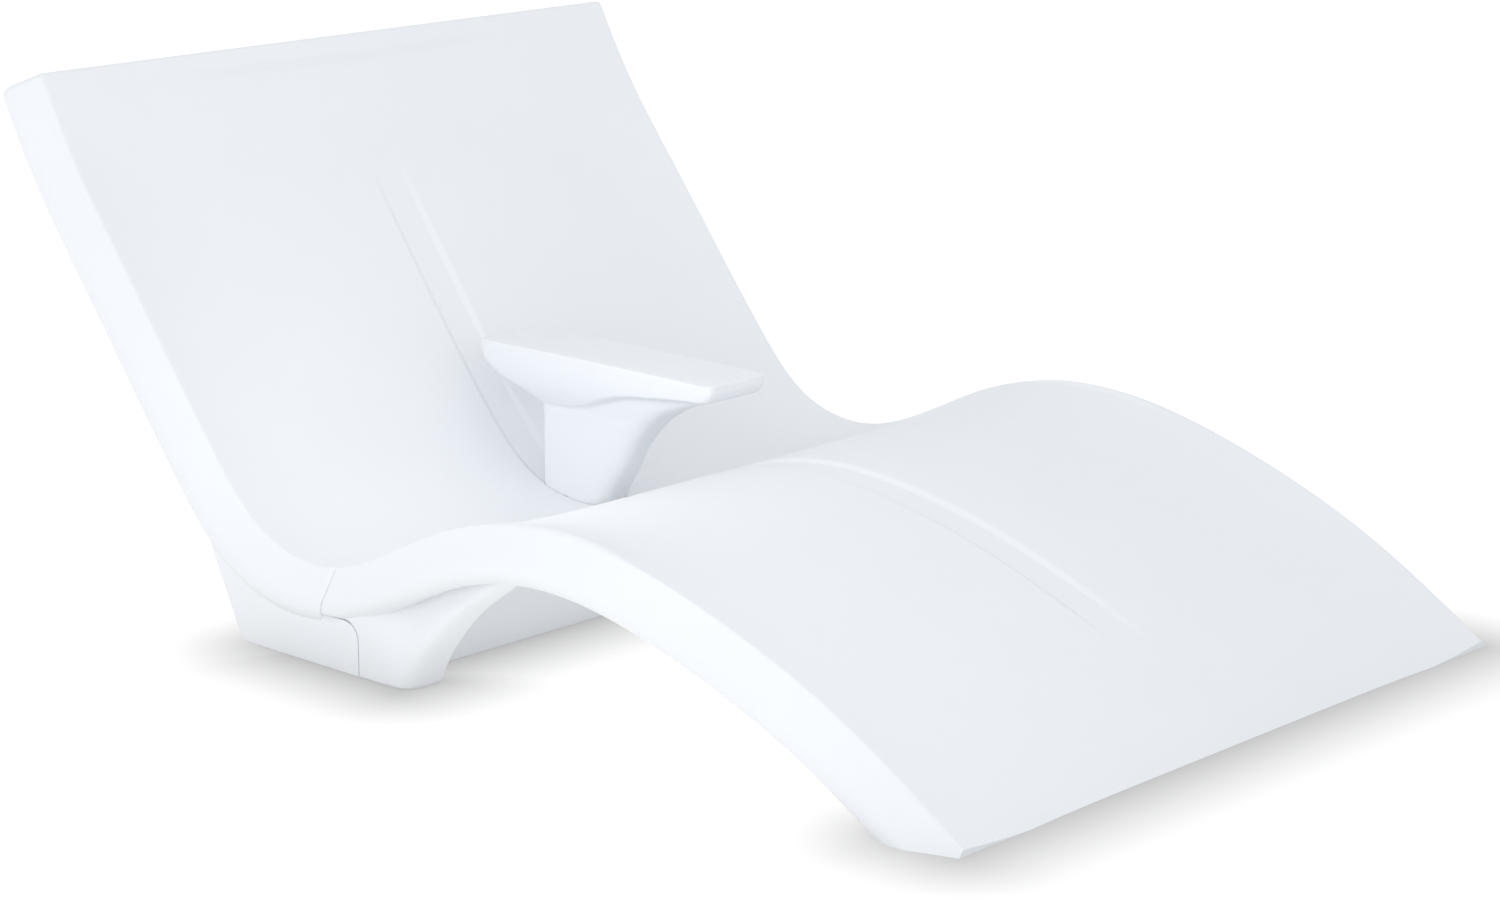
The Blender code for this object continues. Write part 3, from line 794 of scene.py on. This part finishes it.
# %% Front bed
FRONT_RINGS = 178


def front_bed():
    """From the toe, which the floor cuts off, to the seam, with a lip."""
    start, end = np.zeros(len(RING_X)), stations_at(BED_SEAM - SEAM_GAP)
    body = bed_run(start, end - LIP, FRONT_RINGS)
    lip = lip_rings(end, -1, LIP, LIP_STEPS)
    return body_from("front_moulding", np.concatenate([body, lip[1:]]))


front = front_bed()
print("front bed", len(front.data.polygons), "faces")

# %% Front wall and braces
FRONT_WALL, WALL_INSET, WALL_LEVELS, WALL_REACH = 1.008, 0.030, 16, (0.004, 0.004, 0.004, 0.004)
FRONT_RISE = 0.20
BEHIND = BED_SEAM - 0.006
# the brace's free edge: distance from the toe, height
BRACE_EDGE = [
    (0.948, 0.0), (0.932, 0.034), (0.904, 0.074), (0.863, 0.119), (0.815, 0.156), (0.770, 0.190)
]
BRACE_STEPS, BRACE_LEVELS = 60, 44
BRACE_INNER_FRONT, BRACE_INNER_BACK, BRACE_OVERLAP = 0.536, 0.467, 0.004
BRACE_REACH = (0.034, 0.0015, 0.004, 0.012, 0.005)


def front_wall():
    """A wall across the arch, from its face back to the bed's seam."""

    def plan(front_y, back_y):
        return rectangle(BASE_X - WALL_INSET, front_y, back_y), WALL_REACH

    face, back = upright(FRONT_WALL, FRONT_RISE), upright(BEHIND, FRONT_RISE)
    return body_from("front_wall", stacked(plan, face, back, inside_bed, WALL_LEVELS))


def brace(side):
    """A brace at one side: its outer corner is round, and its inner side slopes in to the wall."""

    def plan(front_y, back_y):
        outer, inner = np.full_like(front_y, side * BASE_X), np.full_like(front_y, side * BRACE_INNER_FRONT)
        root, wall_y = np.full_like(front_y, side * BRACE_INNER_BACK), np.full_like(front_y, FRONT_WALL)
        corners = corner_rows(
            (outer, front_y), (outer, back_y),
            (root, back_y), (root, wall_y + BRACE_OVERLAP), (inner, front_y)
        )
        return corners, BRACE_REACH

    edge = batten(BRACE_EDGE, np.linspace(0, 1, BRACE_STEPS))
    rings = stacked(plan, edge, upright(BEHIND, FRONT_RISE), inside_bed, BRACE_LEVELS)
    return body_from("brace", rings)


combine(front, [front_wall(), brace(-1), brace(1)], "UNION")

# %% [markdown]
# ## Cutting the front moulding to fit
#
# The side line runs on under the floor, so the toe is cut level with the floor and upright at
# its front. The underside takes the shape of the shelf, with a small gap that shows as the seam.
# Bisecting the mesh would do for the two flat cuts. The shelf has a rounded corner, so all three
# are cutters for one boolean.

# %% Cutters for the front moulding
BEYOND = 1.0
TOE_CUT_BACK, ROOM_BACK, ROOM_DEPTH = 0.6, 1.3, -0.1


def block(name, low, high):
    """An upright cutter between two corners, counted from the toe."""
    (x0, y0, z0), (x1, y1, z1) = low, high
    plan = np.array([(x0, y0), (x1, y0), (x1, y1), (x0, y1)])
    return body_from(name, np.stack([np.column_stack([plan, np.full(4, z)]) for z in (z0, z1)]))


def shelf_room():
    """Room for the shelf, with the same rounded corner: a side outline drawn across the width."""
    face, top = BASE_SEAM - SHELF_GAP, SHELF_HEIGHT + SHELF_GAP
    side = np.vstack([[face, ROOM_DEPTH], shelf_corner(SHELF_GAP), [ROOM_BACK, top], [ROOM_BACK, ROOM_DEPTH]])
    rings = np.stack([np.column_stack([np.full(len(side), x), side]) for x in (-BEYOND, BEYOND)])
    return body_from("shelf_room", rings)


below_floor = block("below_floor", (-BEYOND, -BEYOND, -BEYOND), (BEYOND, TOE_CUT_BACK, 0.0))
ahead_of_toe = block("ahead_of_toe", (-BEYOND, -BEYOND, -BEYOND), (BEYOND, 0.0, BEYOND))
combine(front, [below_floor, ahead_of_toe, shelf_room()], "DIFFERENCE")
pocket_top = SHELF_HEIGHT + PEG_HEIGHT + SOCKET_GAP
pockets = round_pins("pocket", PEG_RADIUS + SOCKET_GAP, 0.0, pocket_top)
combine(front, [*pockets, port_bore("front_fill"), port_bore("front_drain")], "DIFFERENCE")
finish_piece(front, "front_section", "shell", WHITE, "front_section_shell")

# %% [markdown]
# ## The console
#
# A post stands in the socket and flares into a long tray. Subdividing a rough cage would round
# the tray's corners away. Here every level is a squared oval, an ellipse raised to a higher
# power, and the powers, widths and ends pass smoothly from the post to the tray. The post is
# crisp at its back and round at its front, so the two halves of the oval take different powers.
# On the sides the flare stops at a soft wavy line, and the tray's top is very slightly crowned.

# %% Console levels
TRAY_HALF, TRAY_FRONT, TRAY_BACK, TRAY_TOP = 0.062, 0.896, 1.376, 0.340
# height, half width, front end, back end, power of the front, power of the back
CONSOLE_LEVELS = np.array([
    (POST_FOOT, POST_HALF, 1.140, POST_BACK, 3.4, 24.0),
    (0.120, POST_HALF, 1.140, POST_BACK, 3.4, 24.0),
    (0.170, POST_HALF, 1.110, POST_BACK, 3.4, 24.0),
    (0.215, POST_HALF, 1.082, POST_BACK, 3.6, 24.0),
    (0.240, 0.0352, 1.060, 1.2665, 4.2, 20.0),
    (0.252, 0.0375, 1.048, 1.270, 4.8, 14.0),
    (0.262, 0.0430, 1.034, 1.285, 5.4, 12.0),
    (0.272, 0.0490, 1.018, 1.308, 6.0, 12.0),
    (0.284, 0.0545, 0.990, 1.339, 7.0, 13.0),
    (0.298, 0.0585, 0.952, 1.361, 9.0, 15.0),
    (0.312, 0.0610, 0.909, 1.3735, 14.0, 19.0),
    (0.324, 0.0618, 0.8975, 1.3755, 20.0, 22.0),
    (0.338, TRAY_HALF, TRAY_FRONT, TRAY_BACK, 20.0, 22.0),
])


def level_values(z):
    """The console's sizes at heights z: a cubic Hermite curve through the levels, which passes
    each level with the slope between its neighbours."""
    marks, sizes = CONSOLE_LEVELS[:, 0], CONSOLE_LEVELS[:, 1:]
    slope = np.gradient(sizes, marks, axis=0)
    i = np.clip(np.searchsorted(marks, z) - 1, 0, len(marks) - 2)
    gap = (marks[i + 1] - marks[i])[:, None]
    u = (z - marks[i])[:, None] / gap
    start = (2 * u**3 - 3 * u**2 + 1) * sizes[i] + (u**3 - 2 * u**2 + u) * gap * slope[i]
    return start + (3 * u**2 - 2 * u**3) * sizes[i + 1] + (u**3 - u**2) * gap * slope[i + 1]


print("half width at 0.28 m", level_values(np.array([0.28]))[0, 0].round(4))

# %% Plan of one level
WALK_LONG, WALK_SHORT = 48, 16


def square_walk():
    """Points round a unit square, from corner to corner, close together near the corners: sines
    of even angles."""
    long_side = np.sin(np.radians(np.linspace(-90, 90, 2 * WALK_LONG + 1)))[:-1]
    short_side = np.sin(np.radians(np.linspace(-90, 90, 2 * WALK_SHORT + 1)))[:-1]
    sides = [
        (np.ones_like(long_side), long_side), (-short_side, np.ones_like(short_side)),
        (-np.ones_like(long_side), -long_side), (short_side, -np.ones_like(short_side)),
    ]
    return np.concatenate([np.stack(side) for side in sides], axis=1)


def squared_oval(half, front, back, power, walk):
    """Plan of one level: a point of the square is drawn in until the sum of |x / half| and
    |y / half length|, each raised to the power, is 1."""
    u, v = walk
    pull = (np.abs(u)**power + np.abs(v)**power)**(-1 / power)
    return half * u * pull, (front + back) / 2 + (back - front) / 2 * v * pull


def drawn_in(ring, inset, half, front, back):
    """Plan of a ring, scaled about its middle so that its sides and ends come in by inset."""
    middle, half_length = (front + back) / 2, (back - front) / 2
    return ring[:, 0] * (1 - inset / half), middle + (ring[:, 1] - middle) * (1 - inset / half_length)


print("points round the console", square_walk().shape[1])

# %% Sides of the console
CROWN, CROWN_START, CROWN_RUN = 0.0015, 0.27, 0.06
# distance from the toe, height where the head's side ends over the post
WAVY_LINE = [
    (0.880, 0.310), (0.946, 0.308), (1.022, 0.300), (1.098, 0.288), (1.174, 0.262),
    (1.240, 0.254), (1.400, 0.256),
]
WAVY_SOFT, WAVY_STEPS, UNDERCUT, FLARE_SOFT = 0.009, 200, 0.70, 0.003
# heights of the rings, closer together over the flare
RISE = np.concatenate([np.linspace(POST_FOOT, 0.236, 34), np.linspace(0.2385, 0.338, 60)])


def crowned(y):
    """How far the tray's top lies below its middle, as a parabola along it."""
    middle, half_length = (TRAY_FRONT + TRAY_BACK) / 2, (TRAY_BACK - TRAY_FRONT) / 2
    return CROWN * ((y - middle) / half_length)**2


def console_sides():
    """Rings from the foot to the rim. Under the wavy line, most of the width that the flare has
    gained over the post is taken back, with an S curve over the line."""
    walk = square_walk()
    z = RISE[:, None]
    half, front_end, back_end, front_power, back_power = (v[:, None] for v in level_values(RISE).T)
    x, y = squared_oval(half, front_end, back_end, np.where(walk[1] < 0, front_power, back_power), walk)
    wavy = np.interp(y, *batten(WAVY_LINE, np.linspace(0, 1, WAVY_STEPS)).T)
    under = smooth((wavy - z) / WAVY_SOFT + 0.5) * smooth((half - POST_HALF) / FLARE_SOFT)
    x = x * (1 - under * UNDERCUT * (1 - POST_HALF / half))
    z = z - crowned(y) * smooth((z - CROWN_START) / CROWN_RUN)
    return np.stack([x, y, z], axis=-1)


sides = console_sides()
print("rim of the tray", sides[-1, :, 1].min().round(3), "to", sides[-1, :, 1].max().round(3), "m")

# %% Foot, rim and top of the console
RIM_ROUND, RIM_TURNS = 0.0020, np.radians(np.linspace(15, 90, 6))
TOP_SCALES = np.linspace(1, 0.02, 26)[1:]
# inset and lift of the rings that round off the foot, which starts a hair above the socket's floor
FOOT_RINGS = [(0.0025, 0.0), (0.0008, 0.0007), (0.0, 0.0025)]
FOOT_LIFT = 0.0001


def tray_top(edge, scale):
    """The rim's last ring, scaled about the tray's middle and laid on its crown."""
    middle = (TRAY_FRONT + TRAY_BACK) / 2
    y = middle + (edge[:, 1] - middle) * scale
    return np.column_stack([edge[:, 0] * scale, y, TRAY_TOP - crowned(y)])


def console():
    """The sides, closed below by a rounded foot and above by a rim, rounded by radius (1 - cos)
    inwards and radius sin upwards, and a crowned top."""
    post, tray = (POST_HALF, POST_FRONT, POST_BACK), (TRAY_HALF, TRAY_FRONT, TRAY_BACK)
    foot = [
        np.column_stack([*drawn_in(sides[0], inset, *post), sides[0, :, 2] + FOOT_LIFT + lift])
        for inset, lift in FOOT_RINGS
    ]
    rim = [
        np.column_stack([
            *drawn_in(sides[-1], RIM_ROUND * (1 - math.cos(turn)), *tray),
            sides[-1, :, 2] + RIM_ROUND * math.sin(turn)
        ])
        for turn in RIM_TURNS
    ]
    top = [tray_top(rim[-1], scale) for scale in TOP_SCALES]
    return body_from("console_moulding", np.concatenate([foot, sides[1:], rim, top]))


finish_piece(console(), "console", "shell", WHITE, "console_shell")

# %% [markdown]
# ## Ports: inserts, gaskets and plugs
#
# A brass insert is moulded into the wall, and a nylon plug screws into it over a rubber gasket.
# These are turned pieces, so each is a profile of radius and depth carried round the port's
# axis, as a Screw modifier would do. Doing it with arrays lets the radius depend on the angle
# too: a thread is a radius that depends on the depth less the angle, which makes one helix out
# of a plain grid, and the grip on the plug's head is a ripple with the angle alone.

# %% Threads
PITCH, CREST_POWER, TURN_STEPS = 0.0035, 1.5, 144
TURN = np.linspace(0, 2 * math.pi, TURN_STEPS, endpoint=False)


def thread(depth, height):
    """Height of a rounded thread: a cosine of depth less angle, raised to a power that sharpens
    its crest."""
    wave = 0.5 + 0.5 * np.cos(2 * math.pi * depth / PITCH - TURN)
    return height * wave**CREST_POWER


print("thread runs from", thread(0.0, 1.0).min().round(3), "to", thread(0.0, 1.0).max().round(3))

# %% Insert
INSERT_LENGTH, INSERT_BORE, INSERT_THREAD, INSERT_ROWS = 0.0200, 0.0161, 0.0006, 80
EDGE, CHAMFER = 0.0001, 0.0003
# depths between which the insert's thread stands, and how it fades at each end
INSERT_SPAN = (-0.0195, -0.0008, 0.002)


def insert(port):
    """A flanged bush with a thread inside. Its profile runs down the outside, up the bore and
    back over the flange."""
    bore = np.linspace(EDGE - INSERT_LENGTH, -EDGE, INSERT_ROWS)
    profile = np.array([
        (FLANGE_RADIUS, -CHAMFER), (FLANGE_RADIUS, EDGE - FLANGE_DEPTH), (BUSH_RADIUS, -FLANGE_DEPTH),
        (BUSH_RADIUS, EDGE - INSERT_LENGTH), (INSERT_BORE, -INSERT_LENGTH),
        *((INSERT_BORE, depth) for depth in bore),
        (INSERT_BORE + 2 * EDGE, 0.0), (FLANGE_RADIUS - CHAMFER, 0.0),
    ])
    radius, depth = profile.T[..., None]
    cut = thread(depth, INSERT_THREAD) * window(depth, *INSERT_SPAN) * (radius == INSERT_BORE)
    return ring_body(port + "_bush", around(port, radius - cut, depth, TURN))


print("insert", INSERT_LENGTH, "m long with", round(INSERT_LENGTH / PITCH, 1), "turns of thread")

# %% Gasket
GAP, GASKET_THICK, GASKET_WIDTH, GASKET_BORE = 0.0004, 0.0020, 0.0075, 0.0163
GASKET_POINTS, GASKET_POWERS = 40, (0.35, 0.6)


def gasket(port):
    """A flat ring with rounded edges. Its section is a squared oval: a circle whose cosine and
    sine are raised to powers below one."""
    turn = np.linspace(0, 2 * math.pi, GASKET_POINTS, endpoint=False)[:, None]
    across, up = np.cos(turn), np.sin(turn)
    radius = GASKET_BORE + GASKET_WIDTH / 2 * (1 + np.sign(across) * np.abs(across)**GASKET_POWERS[0])
    depth = GAP + GASKET_THICK / 2 * (1 + np.sign(up) * np.abs(up)**GASKET_POWERS[1])
    return ring_body(port + "_seal", around(port, radius, depth, TURN))


print("gasket", round(2 * (GASKET_BORE + GASKET_WIDTH), 4), "m across")

# %% Plug's profile
STEM_RADIUS, STEM_LENGTH, STEM_CHAMFER, STEM_RISE, STEM_ROWS = 0.0148, 0.0180, 0.0020, 0.0012, 90
HEAD_RADIUS, HEAD_HEIGHT, HEAD_EDGE, SIDE_ROWS = 0.0235, 0.0080, 0.0016, 8
HEAD_CHAMFER, HEAD_BEVEL = 0.0012, 0.0004
RECESS_RIM, RECESS_RADIUS, RECESS_EDGE, RECESS_DEPTH = 0.0200, 0.0190, 0.0002, 0.0006
END_RADIUS = 0.0006
HEAD_TURNS = np.radians(np.linspace(0, 90, 7))[1:]
UNDER_HEAD = GAP + GASKET_THICK + GAP
HEAD_TOP = UNDER_HEAD + HEAD_HEIGHT


def plug_profile():
    """Radius and depth from the middle of the stem's tip, up the stem, out under the head, round
    its edge by a quarter circle, and in to the middle of its recessed top."""
    stem = np.linspace(STEM_RISE - STEM_LENGTH, UNDER_HEAD, STEM_ROWS)
    side = np.linspace(UNDER_HEAD + HEAD_CHAMFER, HEAD_TOP - HEAD_EDGE, SIDE_ROWS)
    rounding = np.column_stack([
        HEAD_RADIUS - HEAD_EDGE * (1 - np.cos(HEAD_TURNS)), HEAD_TOP - HEAD_EDGE * (1 - np.sin(HEAD_TURNS))
    ])
    profile = np.array([
        (END_RADIUS, -STEM_LENGTH), (STEM_RADIUS - STEM_CHAMFER, -STEM_LENGTH),
        *((STEM_RADIUS, depth) for depth in stem),
        (HEAD_RADIUS - HEAD_CHAMFER, UNDER_HEAD), (HEAD_RADIUS - HEAD_BEVEL, UNDER_HEAD + HEAD_BEVEL),
        *((HEAD_RADIUS, depth) for depth in side),
        *rounding,
        (RECESS_RIM, HEAD_TOP - RECESS_EDGE), (RECESS_RADIUS, HEAD_TOP - RECESS_DEPTH),
        (END_RADIUS, HEAD_TOP - RECESS_DEPTH),
    ])
    return profile.T[..., None]


print("plug", round(STEM_LENGTH + HEAD_TOP, 4), "m long")

# %% Plug
PLUG_THREAD = 0.0007
PLUG_SPAN = (-STEM_LENGTH - 0.002, UNDER_HEAD - 0.001, 0.002)
GRIP_DEPTH, GRIP_COUNT, GRIP_EDGE = 0.0005, 36, 0.0001
SLOT_LENGTH, SLOT_WIDTH, SLOT_DEPTH, SLOT_ROUND, SLOT_ABOVE = 0.030, 0.0045, 0.0035, 0.0021, 0.004


def coin_slot(port):
    """A cutter for the slot across the head: a rounded rectangle in the port's own directions."""
    middle, across, up, out = port_frame(port)
    half, wide = np.array([SLOT_LENGTH / 2]), np.array([SLOT_WIDTH / 2])
    plan = outline(rectangle(half, -wide, wide), (SLOT_ROUND,) * 4)[0]
    levels = np.array([HEAD_TOP - SLOT_DEPTH, HEAD_TOP + SLOT_ABOVE])[:, None, None]
    return body_from("slot", middle + plan[:, :1] * across + plan[:, 1:] * up + levels * out, origin=0)


def plug(port):
    """The turned profile, less the groove of the thread on its stem and the ripple (half of one
    minus a cosine, squared) round its head."""
    radius, depth = plug_profile()
    groove = (PLUG_THREAD - thread(depth, PLUG_THREAD)) * window(depth, *PLUG_SPAN)
    grip = GRIP_DEPTH * (0.5 - 0.5 * np.cos(GRIP_COUNT * TURN))**2
    on_stem, on_side = radius == STEM_RADIUS, radius > HEAD_RADIUS - GRIP_EDGE
    made = body_from(
        port + "_screw", around(port, radius - groove * on_stem - grip * on_side, depth, TURN), origin=0
    )
    return combine(made, [coin_slot(port)], "DIFFERENCE")


print("plug's head has", GRIP_COUNT, "ripples")

# %% All four ports
for port in PORTS:
    section = port.split("_")[0] + "_section"
    finish_piece(insert(port), section, "insert", BRASS, port + "_insert")
    finish_piece(gasket(port), port + "_gasket", "gasket", RUBBER, port + "_gasket")
    finish_piece(plug(port), port + "_plug", "plug", NYLON, port + "_plug")

# %% [markdown]
# ## The floor
#
# The lounger stands on plain white paper in a bright, almost shadowless studio. A lit white
# plane would go grey at a distance, and its shadow would be broad and faint. So the paper has a
# glow of its own, and the soft dark halo close to the lounger is a painted shadow, not a cast
# one: its darkness depends on how far a point of the floor is from the places where the lounger
# stands. It is kept as an attribute of the floor's points, which the material reads as the colour
# of the glow.

# %% Painted shadow on the floor
FLOOR_DROP, FLOOR_GLOW = -0.0005, 0.98
# reach, depth and power of the painted shadow round the lounger's footprints
SHADE_REACH, SHADE_DEPTH, SHADE_POWER = 0.215, 0.56, 1.4
# footprints that the lounger stands on: half width, front and back, counted from the toe
FOOTPRINTS = [(0.575, 1.010, 1.240), (0.560, 0.012, 0.080)]
# feet of the braces: their distance from the middle line, half width, front and back
BRACE_FEET = (0.565, 0.030, 0.965, 1.200)
FLOOR_LINES = np.concatenate([[-40, -8, -3], np.linspace(-1.5, 1.5, 241), [3, 8, 40]])


def away_from(x, y, half, front, back):
    """Distance in plan from a rectangle that lies astride x = 0, by Pythagoras."""
    return np.hypot(np.maximum(np.abs(x) - half, 0), np.maximum(np.maximum(front - y, y - back), 0))


def painted_floor_shadow(x, y):
    """Painted shadow on the floor, as the share of the glow that is left: 1 away from the lounger,
    and less near it, one minus depth times (1 - distance / reach) raised to a power, where
    distance is the least over all the footprints."""
    reach = np.min([away_from(x, y, *footprint) for footprint in FOOTPRINTS], axis=0)
    foot_x, *foot = BRACE_FEET
    reach = np.minimum(reach, away_from(np.abs(x) - foot_x, y, *foot))
    return 1 - SHADE_DEPTH * np.clip(1 - reach / SHADE_REACH, 0, 1)**SHADE_POWER


floor_x, floor_y = (grid.ravel() for grid in np.meshgrid(FLOOR_LINES, FLOOR_LINES, indexing="ij"))
shade = painted_floor_shadow(floor_x, floor_y - TOE_Y)
print("floor points", len(shade), "darkest shade", shade.min().round(2))

# %% Floor
across_count = len(FLOOR_LINES)
cell = np.add.outer(np.arange(across_count - 1) * across_count, np.arange(across_count - 1)).ravel()
floor_quads = np.column_stack([cell, cell + across_count, cell + across_count + 1, cell + 1])
floor_points = np.column_stack([floor_x, floor_y, np.full(len(shade), FLOOR_DROP)])
floor_mesh = bpy.data.meshes.new("studio_floor")
floor_mesh.from_pydata(floor_points.tolist(), [], floor_quads.tolist())
shade_layer = floor_mesh.attributes.new("shade", "FLOAT", "POINT")
shade_layer.data.foreach_set("value", shade.astype(np.float32))

paper, paper_shader, paper_place = finish("floor_paper", 0.9, specular=0.0)
paper_noise = noise(paper, paper_place, 0.6)
tinted(paper, paper_noise, (0.12, 0.12, 0.12), (0.13, 0.13, 0.13), paper_shader.inputs["Base Color"])
paper_shader.inputs["Emission Strength"].default_value = FLOOR_GLOW
# the painted shadow, kept as the floor's shade attribute, sets the colour of the glow, so the paper is
# painted darker near the lounger
shade_node = paper.node_tree.nodes.new("ShaderNodeAttribute")
shade_node.attribute_name = "shade"
paper.node_tree.links.new(shade_node.outputs["Fac"], paper_shader.inputs["Emission Color"])

floor_mesh.materials.append(paper)
floor = bpy.data.objects.new("studio_floor", floor_mesh)
bpy.context.scene.collection.objects.link(floor)
print("floor faces", len(floor_mesh.polygons))

# %% [markdown]
# ## Light and camera
#
# One point lamp would throw a hard shadow. Here a large soft light from the left makes the
# bevelled edge the brightest face, a wide one in front and one above keep the bed even, and the
# world fills the rest. Two small ones lift the bevel by the toe and the console's near side.

# %% Lights
WHITE_LIGHT, COOL_LIGHT = (1.0, 1.0, 1.0), (0.97, 0.985, 1.0)
# name, place, point that it is aimed at, size, watts, colour
LIGHTS = [
    ("left_window", (-4.5, -0.6, 1.9), (0.0, 0.0, 0.2), (4.0, 2.4), 27, WHITE_LIGHT),
    ("near_strip", (-0.95, -0.62, 1.0), (-0.15, -0.45, 0.1), (1.4, 0.3), 1.4, WHITE_LIGHT),
    ("console_fill", (-0.50, 0.05, 0.50), (0.0, 0.22, 0.20), (0.4, 0.25), 0.34, WHITE_LIGHT),
    ("front_window", (-0.5, -5.0, 2.6), (0.0, 0.0, 0.2), (4.5, 2.6), 12, WHITE_LIGHT),
    ("top_panel", (0.3, 0.3, 4.2), (0.0, 0.0, 0.0), (4.5, 4.5), 10, COOL_LIGHT),
]


def soft_light(name, place, aim, size, watts, colour):
    """A rectangular area light that the camera doesn't see itself."""
    data = bpy.data.lights.new(name, "AREA")
    data.shape = "RECTANGLE"
    data.size, data.size_y = size
    data.energy = watts
    data.color = colour
    made = bpy.data.objects.new(name, data)
    bpy.context.scene.collection.objects.link(made)
    made.location = place
    made.rotation_mode = "QUATERNION"
    made.rotation_quaternion = (Vector(aim) - Vector(place)).to_track_quat("-Z", "Y")
    made.visible_camera = False


for light in LIGHTS:
    soft_light(*light)
print("lights", [light[0] for light in LIGHTS])

# %% World
SKY_COLOUR, SKY_STRENGTH = (0.965, 0.98, 1.0, 1), 0.86

world = bpy.data.worlds.new("studio")
world.use_nodes = True
backdrop = world.node_tree.nodes["Background"]
backdrop.inputs["Color"].default_value = SKY_COLOUR
backdrop.inputs["Strength"].default_value = SKY_STRENGTH
bpy.context.scene.world = world
bpy.context.scene.view_settings.view_transform = "Standard"
print("world strength", SKY_STRENGTH)

# %% Camera
CAMERA_PLACE = (-3.703, -3.483, 1.523)
RIGHT, UP = Vector((0.6814, -0.7316, 0)), Vector((0.1805, 0.1681, 0.969))
FORWARD = Vector((0.7091, 0.6603, -0.2467))
LENS, SENSOR_WIDTH = 87.29, 36.0

camera_data = bpy.data.cameras.new("view")
camera_data.lens = LENS
camera_data.sensor_width = SENSOR_WIDTH
camera = bpy.data.objects.new("view", camera_data)
bpy.context.scene.collection.objects.link(camera)
facing = Matrix((RIGHT, UP, -FORWARD)).transposed().to_4x4()
camera.matrix_world = Matrix.Translation(CAMERA_PLACE) @ facing
bpy.context.scene.camera = camera
print("camera", round(Vector(CAMERA_PLACE).length, 2), "m from the lounger's middle")
